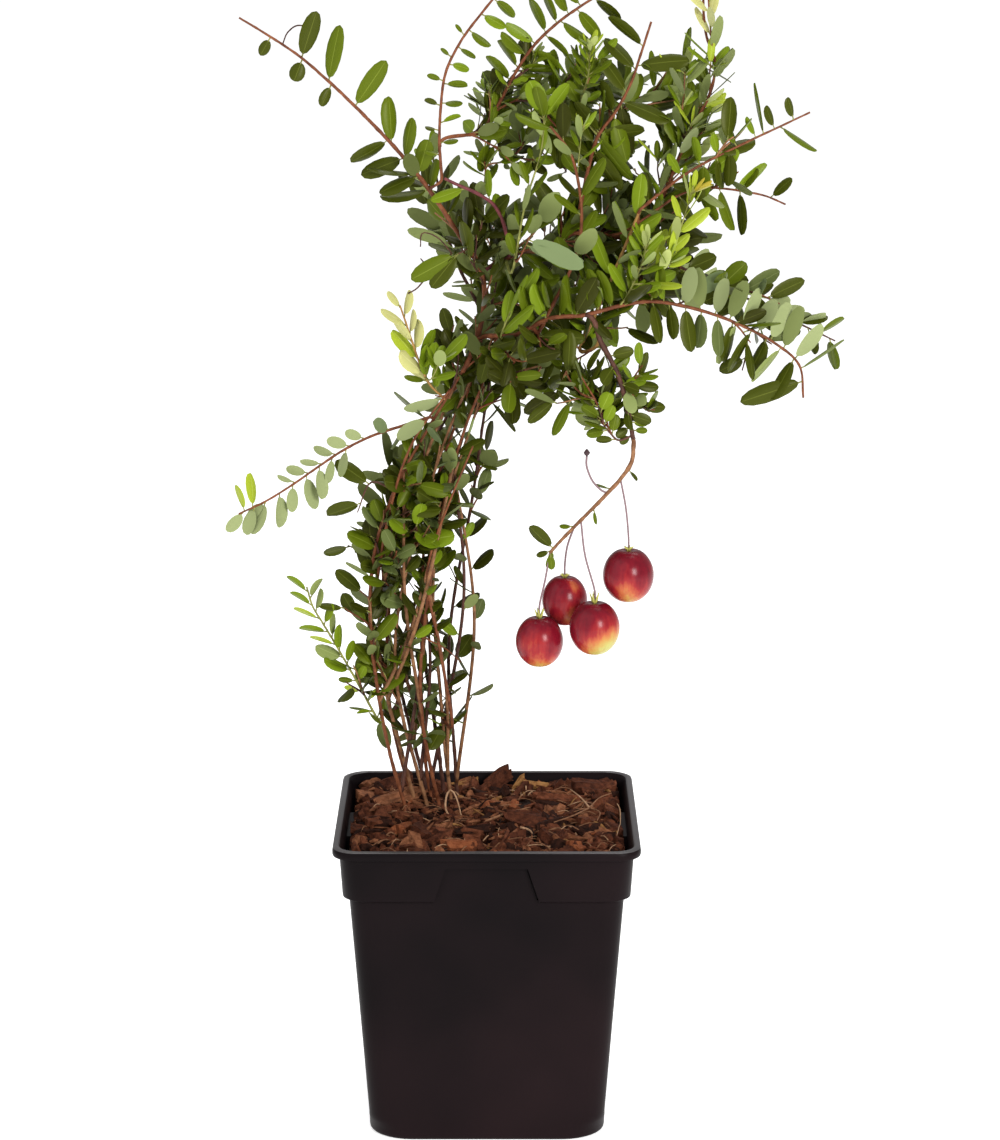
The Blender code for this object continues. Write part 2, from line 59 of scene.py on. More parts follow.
# Pot, as in the part
POT_HEIGHT = 92 * MM
LIP_HALF = 45 * MM
LIP_FOOT = POT_HEIGHT - 2.8 * MM
COLLAR_TOP_HALF = 43.0 * MM
COLLAR_FOOT_HALF = 42.2 * MM
COLLAR_FOOT = POT_HEIGHT - 16 * MM
COLLAR_STEP = 1.2 * MM
BODY_TOP_HALF = 40.3 * MM
BODY_FOOT_HALF = 34.6 * MM
FOOT_HEIGHT = 7.5 * MM
FOOT_CHAMFER = 1.4 * MM
WALL = 1.1 * MM
FLOOR = 1.6 * MM
CORNER = 7 * MM
BODY_CORNER = 6.5 * MM
INNER_CORNER = 5.5 * MM
FOOT_CORNER = 12 * MM
PANEL_TOP = 86.4 * MM
PANEL_TOP_HALF = 12 * MM
PANEL_FOOT_HALF = 15.4 * MM
PANEL_PROUD = 0.03 * MM
FRONT_SIDE = 2  # sides count from the back, to the left
SLOT_WIDTH = 0.6 * MM
SLOT_DEPTH = 0.7 * MM
DRAIN_COUNT = 8
DRAIN_RADIUS = 3 * MM
DRAIN_REACH = 24 * MM
DRAIN_STAGGER = 3 * MM
GROUND = 89 * MM

# Middle and reach of the crown and of the column of stems, between which their leaves turn outwards
CROWN_MIDDLE, CROWN_REACH = Vector((15, 0, 240)) * MM, (90, 38)
COLUMN_MIDDLE, COLUMN_REACH = Vector((-27, 10, 190)) * MM, (22, 16)

# Limbs: the step of their rings, their width as a share of the frame's, and the bark's swellings
BARK_STEP = 1.1 * MM
SLIMNESS = 0.74
STOUT_LIMBS = ("bough_fruit_upper", "bough_fruit_lower")  # as wide as the frame's
NODE_GAP = 6.5 * MM
NODE_SWELL = 0.15

# Twigs and leaves
TWIG_AREA = 125 * MM * MM  # of a mass's surface, for each twig
TWIG_STEP = 2.4 * MM
THIN_TWIG, THICKEST_TWIG, TWIG_TIP = 0.3, 0.5, 0.2  # radii in mm
TWIG_SWELL = 0.006  # added to the radius at a twig's foot for each mm of its reach
TWIG_SHY = 10 * MM  # a spot nearer to a twig's goal than this costs more
TURN_COST, LATE_COST, SHY_COST = 0.35, 0.25, 1.5  # of a bend, of a wrong way, and of nearness
RUNNER_COUNT = 12
RUNNER_RADII = 0.62, 0.45  # in mm
GOLDEN_TURN = 2.399963  # radians from one leaf to the next
SPRAY_SHARE = 0.78  # of a spray's leaves that have its own palette
YOUTH_FROM = 0.72  # share of a twig from which its leaves get younger
LEAF_STALK = 1.2  # in mm
LEAF_STALK_RADII = 0.24 * MM, 0.21 * MM, 0.16 * MM
FULL_LENGTH = 9  # from this length in mm a clear leaf is LEAF_WIDTH wide
LEAF_WIDTH = 5.2  # in mm
LEAF_SHEEN, LEAF_SHEEN_TINT = 0.13, (1.0, 0.97, 0.62)


def point(x, y, z):
    """A point given in millimetres."""
    return Vector((x, y, z)) * MM


def points(places):
    return [point(*place) for place in places]


def blend(a, b, t):
    return a + (b - a) * t


def shaken(dice, amount):
    return Vector([dice.gauss(0, amount) for _ in range(3)])


def keep(piece, slot, *nodes):
    """Hands a finished piece over: it hangs on the root body, and the frame nodes that it replaces
    are hidden. slot is not used.
    """
    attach(piece, "root")
    if nodes:
        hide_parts(*nodes)


# Scene

# Lights: place, width and height in metres, and power in watts
LIGHTS = {
    "key": ((0.66, -1.25, 0.62), (0.4, 0.5), 17),
    "fill": ((-0.9, -0.8, 0.9), (1.8, 1.6), 7),
    "top": ((0.1, 0.3, 1.2), (0.8, 0.8), 8),
}
LIGHTS_AIM = point(10, 0, 200)
SKY_STRENGTH = 0.5
FLOOR_SIZE, FLOOR_GLOW = 400, 0.62


def make_camera():
    data = bpy.data.cameras.new("photo_camera")
    data.lens = CAMERA_LENS
    data.sensor_width = CAMERA_SENSOR
    camera = bpy.data.objects.new("photo_camera", data)
    camera.location = CAMERA_PLACE
    camera.rotation_euler = (math.radians(90 - CAMERA_DIP), 0, 0)
    bpy.context.scene.collection.objects.link(camera)
    bpy.context.scene.camera = camera


def make_light(name, place, size, power):
    """A soft rectangular light that is turned to the middle of the plant."""
    data = bpy.data.lights.new(name, "AREA")
    data.shape = "RECTANGLE"
    data.size, data.size_y = size
    data.energy = power
    light = bpy.data.objects.new(name, data)
    light.location = place
    light.rotation_euler = (LIGHTS_AIM - Vector(place)).to_track_quat("-Z", "Y").to_euler()
    bpy.context.scene.collection.objects.link(light)


def make_studio():
    """White surroundings, a white floor and large soft lights."""
    world = bpy.data.worlds.new("studio")
    world.use_nodes = True
    sky = world.node_tree.nodes["Background"].inputs
    sky["Color"].default_value = (1, 1, 1, 1)
    sky["Strength"].default_value = SKY_STRENGTH
    bpy.context.scene.world = world
    bpy.context.scene.view_settings.view_transform = "Standard"
    for name, (place, size, power) in LIGHTS.items():
        make_light(name, place, size, power)
    bpy.ops.mesh.primitive_plane_add(size=FLOOR_SIZE, location=(0, 0, 0))
    floor = bpy.context.object
    floor.name = "floor"
    white = plain_material("floor_white", (0.85, 0.85, 0.85), 0.9, 0.0)
    shader = white.node_tree.nodes["Principled BSDF"]
    shader.inputs["Emission Color"].default_value = (1, 1, 1, 1)
    shader.inputs["Emission Strength"].default_value = FLOOR_GLOW
    floor.data.materials.append(white)


# Materials

def plain_material(name, color, roughness=0.5, specular=0.5):
    material = bpy.data.materials.new(name)
    material.use_nodes = True
    shader = material.node_tree.nodes["Principled BSDF"]
    shader.inputs["Base Color"].default_value = (*color, 1.0)
    shader.inputs["Roughness"].default_value = roughness
    shader.inputs["Specular IOR Level"].default_value = specular
    return material


def add_node(tree, kind, **settings):
    """A shader node with constants on its inputs, whose names have _ for a space."""
    node = tree.nodes.new("ShaderNode" + kind)
    for name, value in settings.items():
        node.inputs[name.replace("_", " ")].default_value = value
    return node


def add_noise(tree, place, scale, detail):
    cloud = add_node(tree, "TexNoise", Scale=scale, Detail=detail)
    tree.links.new(place, cloud.inputs["Vector"])
    return cloud.outputs["Fac"]


def add_math(tree, operation, *terms):
    """A step of reckoning on outputs of other nodes and plain numbers."""
    node = add_node(tree, "Math")
    node.operation = operation
    for socket, term in zip(node.inputs, terms):
        if isinstance(term, float):
            socket.default_value = term
        else:
            tree.links.new(term, socket)
    return node.outputs["Value"]


def color_by(tree, amount, stops):
    """Turns an amount into the base colour, through a ramp of positions and colours."""
    ramp = add_node(tree, "ValToRGB")
    steps = ramp.color_ramp.elements
    for step, (position, color) in zip((steps[0], steps[1]), (stops[0], stops[-1])):
        step.position, step.color = position, (*color, 1)
    for position, color in stops[1:-1]:
        steps.new(position).color = (*color, 1)
    tree.links.new(amount, ramp.inputs["Fac"])
    tree.links.new(ramp.outputs["Color"], tree.nodes["Principled BSDF"].inputs["Base Color"])


def noise_material(name, colors, scale, roughness, bump, specular, detail=6.0):
    """Colour dealt by a noise through a ramp, with a fine bump from a second noise, whose strength
    and depth bump gives."""
    material = plain_material(name, colors[0], roughness[0], specular)
    tree = material.node_tree
    shader = tree.nodes["Principled BSDF"]
    place = add_node(tree, "TexCoord").outputs["Object"]
    cloud = add_noise(tree, place, scale, detail)
    last = len(colors) - 1
    color_by(tree, cloud, [(blend(0.3, 0.7, i / last), color) for i, color in enumerate(colors)])
    gloss = add_node(tree, "MapRange", To_Min=roughness[0], To_Max=roughness[1])
    tree.links.new(cloud, gloss.inputs["Value"])
    tree.links.new(gloss.outputs["Result"], shader.inputs["Roughness"])
    relief = add_node(tree, "Bump", Strength=bump[0], Distance=bump[1])
    tree.links.new(add_noise(tree, place, scale * 4, 4.0), relief.inputs["Height"])
    tree.links.new(relief.outputs["Normal"], shader.inputs["Normal"])
    return material


# Bark: the dark and the light colour of each kind
BARKS = {
    "red": ((0.080, 0.022, 0.009), (0.225, 0.074, 0.030)),
    "dark": ((0.040, 0.017, 0.013), (0.110, 0.045, 0.030)),
    "tan": ((0.105, 0.042, 0.018), (0.310, 0.150, 0.070)),
    "wine": ((0.085, 0.020, 0.026), (0.200, 0.055, 0.055)),
    "golden": ((0.230, 0.110, 0.030), (0.420, 0.240, 0.075)),
    "green": ((0.120, 0.130, 0.030), (0.300, 0.300, 0.080)),
}
BARK_NAMES = list(BARKS)


def bark_materials(prefix):
    return [noise_material(f"{prefix}_{name}", colors, scale=420.0, roughness=(0.42, 0.65),
                           bump=(0.5, 0.4 * MM), specular=0.15)
            for name, colors in BARKS.items()]


# Palettes: the colours of a spray, as upper side, rib and underside
PALETTES = {
    "deep": ((0.024, 0.027, 0.002), (0.052, 0.058, 0.008), (0.090, 0.108, 0.030)),
    "dark": ((0.042, 0.052, 0.003), (0.085, 0.100, 0.012), (0.130, 0.155, 0.048)),
    "mid": ((0.080, 0.110, 0.004), (0.140, 0.178, 0.018), (0.180, 0.215, 0.072)),
    "fresh": ((0.130, 0.188, 0.007), (0.205, 0.268, 0.032), (0.245, 0.295, 0.098)),
    "young": ((0.300, 0.370, 0.026), (0.400, 0.465, 0.080), (0.380, 0.430, 0.140)),
    # painted_sheen: grey-green leaves whose pale colour is a painted sheen, the white reflection off
    # a glossy leaf
    "painted_sheen": ((0.085, 0.108, 0.030), (0.140, 0.165, 0.060), (0.150, 0.195, 0.085)),
    # pale: partly the real pale green of undersides and paler leaves, partly a painted sheen on upper
    # sides
    "pale": ((0.190, 0.230, 0.070), (0.260, 0.305, 0.110), (0.255, 0.295, 0.130)),
    "gold": ((0.430, 0.340, 0.035), (0.520, 0.420, 0.090), (0.460, 0.420, 0.130)),
    "cream": ((0.460, 0.450, 0.170), (0.540, 0.530, 0.240), (0.480, 0.490, 0.220)),
    "blush": ((0.470, 0.360, 0.150), (0.560, 0.440, 0.200), (0.520, 0.390, 0.220)),
}
PALETTE_NAMES = list(PALETTES)


def leaf_materials():
    """Three plain materials for each palette, in the order that leaf_slots() counts them."""
    made = []
    for name in PALETTE_NAMES:
        upper, rib, under = PALETTES[name]
        for part, color, roughness in (("upper", upper, 0.36), ("rib", rib, 0.42),
                                       ("under", under, 0.6)):
            material = plain_material(f"leaf_{name}_{part}", color, roughness, LEAF_SHEEN)
            shader = material.node_tree.nodes["Principled BSDF"]
            shader.inputs["Specular Tint"].default_value = (*LEAF_SHEEN_TINT, 1.0)
            made.append(material)
    return made


def leaf_slots(name):
    first = 3 * PALETTE_NAMES.index(name)
    return {"upper": first, "rib": first + 1, "under": first + 2}


# Meshes

class Soup:
    """Collects the vertices and faces of one joined piece, each face with its material number."""

    def __init__(self):
        self.verts = []
        self.faces = []
        self.slots = []
        self.size = 0

    def add(self, verts, faces, slots):
        """Places, faces that hold their indices, and one material number or a list of them."""
        self.verts.append(np.asarray(verts, float))
        base = self.size
        self.faces.extend([tuple(base + i for i in face) for face in faces])
        self.slots.extend([slots] * len(faces) if isinstance(slots, int) else slots)
        self.size += len(verts)

    def build(self, name, materials, smooth=True, sharp=None):
        mesh = bpy.data.meshes.new(name)
        mesh.from_pydata(np.concatenate(self.verts).tolist(), [], self.faces)
        mesh.polygons.foreach_set("material_index", self.slots)
        mesh.polygons.foreach_set("use_smooth", [smooth] * len(self.faces))
        for material in materials:
            mesh.materials.append(material)
        mesh.update()
        if sharp:
            mesh.set_sharp_from_angle(angle=math.radians(sharp))
        obj = bpy.data.objects.new(name, mesh)
        bpy.context.scene.collection.objects.link(obj)
        return obj


def quads(rows, width, wrap=True, flip=False):
    """Faces between rows of corners, closed round each row where they wrap."""
    faces = []
    for i in range(rows - 1):
        for k in range(width if wrap else width - 1):
            n = (k + 1) % width
            a, b, c, d = i * width + k, i * width + n, (i + 1) * width + n, (i + 1) * width + k
            faces.append((a, d, c, b) if flip else (a, b, c, d))
    return faces


def route_length(route):
    return sum((b - a).length for a, b in zip(route, route[1:]))


def smooth_route(points, steps):
    """Evenly stepped points on a smooth curve that passes through the given ones."""
    ends = [points[0] * 2 - points[1]] + list(points) + [points[-1] * 2 - points[-2]]
    dense = []
    for a, b, c, d in zip(ends, ends[1:], ends[2:], ends[3:]):
        for k in range(12):
            t = k / 12
            dense.append(0.5 * (2 * b + (c - a) * t + (2 * a - 5 * b + 4 * c - d) * t * t
                                + (3 * b - a - 3 * c + d) * t ** 3))
    dense.append(points[-1].copy())
    lengths = [0.0]
    for a, b in zip(dense, dense[1:]):
        lengths.append(lengths[-1] + (b - a).length)
    route = []
    k = 0
    for i in range(steps + 1):
        want = lengths[-1] * i / steps
        while k < len(dense) - 2 and lengths[k + 1] < want:
            k += 1
        share = (want - lengths[k]) / (lengths[k + 1] - lengths[k])
        route.append(dense[k].lerp(dense[k + 1], min(1.0, share)))
    return route


def arc(start, start_way, end, end_way, steps, pull=0.9):
    """A curve that leaves start along start_way and comes to end along end_way."""
    reach = (end - start).length * pull
    route = []
    for i in range(steps + 1):
        t = i / steps
        route.append(start * (2 * t ** 3 - 3 * t ** 2 + 1)
                     + start_way * reach * (t ** 3 - 2 * t ** 2 + t)
                     + end * (3 * t ** 2 - 2 * t ** 3) + end_way * reach * (t ** 3 - t ** 2))
    return route


def walk(route, distance):
    """The place and direction at a distance along a route."""
    for a, b in zip(route, route[1:]):
        step = (b - a).length
        if distance <= step or b is route[-1]:
            return a.lerp(b, min(1.0, distance / step)), (b - a).normalized()
        distance -= step


def add_tube(soup, route, radii, sides, slot, rough=0.0, seed=0):
    """A round tapering tube with closed ends; rough gives bark its uneven relief."""
    dice = np.random.default_rng(seed)
    path = np.array([tuple(p) for p in route])
    ahead = np.gradient(path, axis=0)
    ahead /= np.linalg.norm(ahead, axis=1)[:, None] + 1e-12
    side = np.cross(ahead[0], (0.3, 0.5, 0.81))
    side /= np.linalg.norm(side)
    angles = np.arange(sides) * math.tau / sides
    ridge = 1 + rough * dice.normal(size=sides)
    verts = []
    for place, way, radius in zip(path, ahead, radii):
        side = side - way * side.dot(way)
        side /= np.linalg.norm(side)
        other = np.cross(way, side)
        bump = ridge * (1 + rough * dice.normal(size=sides)) * radius
        verts.append(place + np.outer(np.cos(angles) * bump, side)
                     + np.outer(np.sin(angles) * bump, other))
    last = (len(path) - 1) * sides
    ends = [tuple(range(sides))[::-1], tuple(last + k for k in range(sides))]
    soup.add(np.concatenate(verts), quads(len(path), sides) + ends, slot)


def taper(route, thick, thin):
    """Radii along a route, from one in mm to another."""
    last = len(route) - 1
    return [blend(thick, thin, i / last) * MM for i in range(last + 1)]


def lean(ahead, turn, angle):
    """A way that leans off ahead, turned round it, and the way that a leaf along it would face."""
    out = Matrix.Rotation(turn, 3, ahead) @ ahead.orthogonal().normalized()
    return (ahead * math.cos(angle) + out * math.sin(angle),
            ahead * math.sin(angle) - out * math.cos(angle))


def make_leaf_pattern(stations=7):
    """Unit leaf: shares along and across it, layer, faces and what each face shows.

    The stations crowd towards both ends, so that these come out round. The upper side has a
    narrow middle rib, and the underside meets it at the same edges."""
    across = (-1.0, -0.55, -0.045, 0.045, 0.55, 1.0)
    along, over, layer = [], [], []
    for i in range(stations + 1):
        share = 0.5 - 0.5 * math.cos(math.pi * i / stations)
        for s in across + (0.0,):
            along.append(share)
            over.append(s)
            layer.append(0.0)
        layer[-1] = 1.0
    row = len(across) + 1
    faces, kinds = [], []
    for i in range(stations):
        a, b = i * row, (i + 1) * row
        for k in range(len(across) - 1):
            faces.append((a + k, b + k, b + k + 1, a + k + 1))
            kinds.append("rib" if k == 2 else "upper")
        under, under_next = a + len(across), b + len(across)
        faces.append((a, under, under_next, b))
        faces.append((under, a + len(across) - 1, b + len(across) - 1, under_next))
        kinds += ["under", "under"]
    return np.array(along), np.array(over), np.array(layer), faces, kinds


LEAF_ALONG, LEAF_OVER, LEAF_LAYER, LEAF_FACES, LEAF_KINDS = make_leaf_pattern()
# Along the leaf, how wide it is; across it, how far its edges curl up and its halves swell
LEAF_WIDTHS = (4 * LEAF_ALONG * (1 - LEAF_ALONG)) ** 0.52 * (0.93 + 0.14 * LEAF_ALONG) + 0.05
LEAF_EDGE = np.abs(LEAF_OVER) ** 1.8
LEAF_PILLOW = (np.abs(LEAF_OVER) > 0.3) * (1 - np.abs(LEAF_OVER)) * (1 - LEAF_LAYER)


def add_leaf(soup, base, ahead, face, length, width, cup, droop, slots):
    """One leaf from its base along ahead, its upper side turned to face. slots: kind to number."""
    ahead = ahead.normalized()
    face = (face - ahead * face.dot(ahead)).normalized()
    side = face.cross(ahead)
    half = 0.5 * width * LEAF_WIDTHS
    x = LEAF_ALONG * length
    y = LEAF_OVER * half
    z = (0.11 * width * LEAF_PILLOW - cup * LEAF_EDGE * half
         - droop * length * LEAF_ALONG ** 2 - 0.04 * width * LEAF_LAYER)
    axes = np.array([tuple(ahead), tuple(side), tuple(face)])
    verts = np.stack([x, y, z], axis=1) @ axes + np.array(tuple(base))
    soup.add(verts, LEAF_FACES, [slots[kind] for kind in LEAF_KINDS])


# The frame's limbs and masses

def frame_mesh(name):
    """The places of a frame node's corners, each once, and its triangles."""
    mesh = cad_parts[name].data
    numbers = {}
    corners = []
    for vert in mesh.vertices:
        key = tuple(round(c / WELD) for c in vert.co)
        corners.append(numbers.setdefault(key, len(numbers)))
    places = [Vector(key) * WELD for key in numbers]
    return places, [tuple(corners[i] for i in face.vertices) for face in mesh.polygons]


def limb_axis(name):
    """The middle line and radii of a frame limb, foot first. Short edges join each of its rings."""
    places, triangles = frame_mesh(name)
    edges = {tuple(sorted(pair)) for a, b, c in triangles for pair in ((a, b), (b, c), (c, a))}
    ring_of = list(range(len(places)))
    for a, b in edges:
        if (places[a] - places[b]).length < RING_EDGE:
            old, new = ring_of[a], ring_of[b]
            ring_of = [new if ring == old else ring for ring in ring_of]
    rings = {ring: [p for p, r in zip(places, ring_of) if r == ring] for ring in set(ring_of)}
    middles = {ring: sum(members, Vector()) / len(members) for ring, members in rings.items()}
    radii = {ring: sum((p - middles[ring]).length for p in members) / len(members)
             for ring, members in rings.items()}
    beside = {ring: set() for ring in rings}
    for a, b in edges:
        if ring_of[a] != ring_of[b]:
            beside[ring_of[a]].add(ring_of[b])
            beside[ring_of[b]].add(ring_of[a])
    ends = [ring for ring in rings if len(beside[ring]) == 1]
    order = [max(ends, key=radii.get)]
    while len(order) < len(rings):
        order.append(next(ring for ring in beside[order[-1]] if ring not in order[-2:]))
    return [middles[ring] for ring in order], [radii[ring] for ring in order]


def mass_goals(name, density, dice):
    """Places spread evenly over a frame mass and a little inside it, by its area."""
    places, triangles = frame_mesh(name)
    middle = sum(places, Vector()) / len(places)
    areas = [0.5 * (places[b] - places[a]).cross(places[c] - places[a]).length
             for a, b, c in triangles]
    sums = np.cumsum(areas)
    count = round(density * sums[-1] / TWIG_AREA)
    goals = []
    for k in range(count):
        a, b, c = triangles[int(np.searchsorted(sums, sums[-1] * (k + dice.random()) / count))]
        goal = (places[a] + places[b] + places[c]) / 3
        goals.append(middle.lerp(goal, dice.uniform(0.62, 1.0)))
    return goals


def light_way(place):
    """The way that leaves turn to at a place: up, and out of the crown or the column of stems."""
    t = min(1.0, max(0.0, (place.z - COLUMN_MIDDLE.z) / (CROWN_MIDDLE.z - COLUMN_MIDDLE.z)))
    middle = COLUMN_MIDDLE.lerp(CROWN_MIDDLE, t)
    reach = [blend(a, b, t) for a, b in zip(COLUMN_REACH, CROWN_REACH)]
    out = Vector(((place.x - middle.x) / reach[0] ** 2, (place.y - middle.y) / reach[1] ** 2, 0))
    return out.normalized() * 0.75 + UP * 0.6


# The plant

class Crown:
    """Grows limbs, twigs and leaves, and keeps each kind in its own joined piece."""

    def __init__(self):
        self.bark = Soup()
        self.twigs = Soup()
        self.leaves = {}
        self.limbs = {}
        self.spots = []
        self.ways = []
        self.part = None

    def open_part(self, name):
        """Leaves grown from here on go into the piece of this name."""
        self.part = self.leaves.setdefault(name, Soup())

    def remember(self, route, first=1):
        for i in list(range(first, len(route) - 1, 3)) + [len(route) - 2]:
            self.spots.append(route[i])
            self.ways.append((route[i + 1] - route[i - 1]).normalized())

    def limb(self, name, bark):
        """A main limb along the frame's own, joined to the one it grows from, with bark's relief."""
        axis, ring_radii = limb_axis(name)
        along = [0.0] + list(np.cumsum([(b - a).length for a, b in zip(axis, axis[1:])]))
        steps = round(along[-1] / BARK_STEP)
        route = smooth_route(axis, steps)
        shares = [along[-1] * i / steps for i in range(steps + 1)]
        slimness = 1.0 if name in STOUT_LIMBS else SLIMNESS
        radii = [slimness * float(np.interp(share, along, ring_radii)) for share in shares]
        root = self.root_to(route) if self.spots else []
        route = root + route
        radii = [radii[0]] * len(root) + radii
        phase = len(self.limbs)
        waves = [math.cos(math.tau * i * BARK_STEP / NODE_GAP + phase) for i in range(len(radii))]
        swollen = [radius * (1 + NODE_SWELL * max(0.0, wave) ** 8)
                   for radius, wave in zip(radii, waves)]
        add_tube(self.bark, route, swollen, 9, BARK_NAMES.index(bark), rough=0.06, seed=phase)
        self.limbs[name] = route[len(root):]
        return route

    def root_to(self, route):
        """The hidden start of a bough, from the best earlier spot to the foot of the frame's limb."""
        foot = route[0]
        way = (route[1] - foot).normalized()
        number = self.best_spot(foot, way, 0.0)
        start = self.spots[number]
        reach = (foot - start).length
        if reach < 3 * MM:
            return [start, start.lerp(foot, 0.5)]
        steps = max(3, round(reach / BARK_STEP))
        return arc(start, self.ways[number], foot, way, steps)[:-1]

    def best_spot(self, goal, way, shy):
        """The number of the spot that a twig to a goal grows from: near, behind it, not too close."""
        spots = np.array([tuple(spot) for spot in self.spots])
        ways = np.array([tuple(spot_way) for spot_way in self.ways])
        gap = np.array(tuple(goal)) - spots
        reach = np.linalg.norm(gap, axis=1) + 1e-9
        turn = 1 - (gap * ways).sum(axis=1) / reach
        late = 1 - gap @ np.array(tuple(way)) / reach
        cost = reach * (1 + TURN_COST * turn + LATE_COST * late)
        cost += SHY_COST * np.maximum(0, shy - reach)
        return int(np.argmin(cost))

    def twig(self, goal, seed, look):
        """A twig from the best spot on what has grown so far to its goal, with leaves."""
        dice = random.Random(seed)
        out = light_way(goal).normalized()
        number = self.best_spot(goal, out, TWIG_SHY)
        start, ahead = self.spots[number], self.ways[number]
        straight = (goal - start).normalized()
        reach = (goal - start).length
        side = shaken(dice, 0.25)
        steps = max(4, round(reach / TWIG_STEP))
        route = arc(start, (ahead + straight + side).normalized(), goal,
                    (straight + out * 0.5 - side).normalized(), steps)
        thick = min(THICKEST_TWIG, THIN_TWIG + reach / MM * TWIG_SWELL)
        self.grow(route, thick, TWIG_TIP, dice.choice(look["bark"]))
        self.dress(route, seed + 1, look)

    def twigs_to(self, goals, seed, look):
        """Twigs to all the goals, the nearest first, so that later ones grow from earlier ones."""
        goals.sort(key=lambda goal: min((spot - goal).length for spot in self.spots))
        for k, goal in enumerate(goals):
            self.twig(goal, seed + k, look)

    def shoot(self, name, places, thick, bark, seed, look):
        """A shoot through listed places, from the best spot behind the first of them."""
        first = point(*places[0])
        number = self.best_spot(first, (point(*places[1]) - first).normalized(), 0.0)
        route = smooth_route([self.spots[number]] + points(places), 6 * len(places))
        self.grow(route, thick, thick * 0.5, bark)
        self.limbs[name] = route
        if look:
            self.dress(route, seed, look)

    def grow(self, route, thick, thin, bark):
        """The wood of a twig, from one radius in mm to another, with the spots it offers."""
        add_tube(self.twigs, route, taper(route, thick, thin), 6, BARK_NAMES.index(bark))
        self.remember(route)

    def leaf(self, place, way, face, size, wide, palette, dice):
        """One leaf and the short stalk that joins it to the twig at a place."""
        way = way.normalized()
        foot = place + way * LEAF_STALK * MM
        add_leaf(self.part, foot, way, face, size, wide, dice.uniform(0.05, 0.35),
                 dice.uniform(-0.06, 0.16), leaf_slots(palette))
        add_tube(self.twigs, [place, foot, foot + way * 0.5 * MM],
                 LEAF_STALK_RADII, 4, BARK_NAMES.index("green"))

    def dress(self, route, seed, look):
        """Leaves along a route, in a spiral, from a share of it to a last one at its tip."""
        dice = random.Random(seed)
        total = route_length(route)
        done = total * look["start"]
        stop = total * look["stop"]
        turn = dice.uniform(0, math.tau)
        spray = dice.choice(look["palettes"])
        while done < stop:
            place, ahead = walk(route, done)
            share = done / total
            youth = max(0.0, (share - YOUTH_FROM) / (1 - YOUTH_FROM)) if look["tips"] else 0.0
            angle = math.radians(dice.gauss(look["spread"], 8) * blend(1.0, 0.5, share ** 4))
            way, natural = lean(ahead, turn, angle)
            face = natural * 0.55 + light_way(place) * look["turned"] + shaken(dice, 0.34)
            name = spray if dice.random() < SPRAY_SHARE else dice.choice(look["palettes"])
            if youth and dice.random() < youth:
                name = dice.choice(look["tips"])
            size = look["length"] * MM * dice.uniform(0.74, 1.18) * blend(1.0, 0.62, youth)
            wide = look["ratio"] * dice.uniform(0.86, 1.16) * blend(1.0, 0.8, youth)
            self.leaf(place, way + UP * 0.12, face, size, size * wide, name, dice)
            turn += GOLDEN_TURN + dice.uniform(-0.25, 0.25)
            done += look["gap"] * MM * dice.uniform(0.72, 1.28) * blend(1.0, 0.6, youth)
        self.rosette(route, dice, look)

    def rosette(self, route, dice, look):
        """A star of small young leaves round the tip of a route."""
        place, ahead = walk(route, route_length(route))
        for k in range(look["rosette"]):
            way, natural = lean(ahead, k * GOLDEN_TURN, math.radians(dice.uniform(18, 62)))
            size = look["length"] * MM * dice.uniform(0.5, 0.8)
            self.leaf(place - ahead * dice.uniform(0, 2) * MM, way,
                      natural + light_way(place) * 0.3, size,
                      size * look["ratio"] * dice.uniform(0.85, 1.1),
                      dice.choice(look["tips"] or look["palettes"]), dice)

    def stand_clear(self, name, seed):
        """Leaves along the stretches of a limb where they stand clear of the rest."""
        dice = random.Random(seed)
        route = self.limbs[name]
        total = route_length(route)
        for first, last, count, side, spread, long, wide, palettes in CLEAR_LEAVES[name]:
            for k in range(count):
                share = (k + 0.5) / count
                place, ahead = walk(route, total * blend(first, last, share) / 100)
                turn = (side or (-1) ** k) * math.radians(dice.gauss(spread, 8))
                length = blend(*long, share) * dice.uniform(0.85, 1.15)
                width = wide * length * dice.uniform(0.75, 1.2)
                self.clear_leaf(place, math.atan2(ahead.z, ahead.x) + turn, length, width,
                                dice.choice(palettes), dice)

    def clear_leaf(self, place, angle, length, width, palette, dice):
        """A leaf at an angle seen from the front, turned on its edge to show a width in mm."""
        depth = dice.uniform(-0.35, 0.35)
        way = Vector((math.cos(angle), depth, math.sin(angle)))
        wide = max(LEAF_WIDTH * min(1.0, length / FULL_LENGTH), abs(width))
        open_share = abs(width) / wide
        front = Vector((0, -1 if width > 0 else 1, 0))
        edge = Vector((-math.sin(angle), 0, math.cos(angle))) * dice.choice((-1, 1))
        face = front * open_share + edge * math.sqrt(1 - open_share ** 2)
        size = length * MM * math.sqrt(1 + depth ** 2)
        self.leaf(place, way, face, size, wide * MM, palette, dice)


def look(palettes, length=10.5, gap=4.6, start=0.14, stop=1.0, ratio=0.40, spread=56, tips=(),
         turned=0.7, bark=("red", "red", "dark", "tan"), rosette=0):
    """How a limb or twig is dressed with leaves: lengths and gaps in mm, shares of its length."""
    return {"palettes": palettes, "length": length, "gap": gap, "start": start, "stop": stop,
            "ratio": ratio, "spread": spread, "tips": tips, "turned": turned, "bark": bark,
            "rosette": rosette}


DARK = ("deep", "dark", "dark", "mid", "deep", "dark")
GREEN = ("dark", "mid", "dark", "fresh", "mid", "deep")
LIGHT = ("mid", "fresh", "mid", "dark", "pale")
SPRING = ("fresh", "young", "fresh", "mid")
COLUMN = ("dark", "mid", "deep", "dark", "painted_sheen", "dark", "fresh")

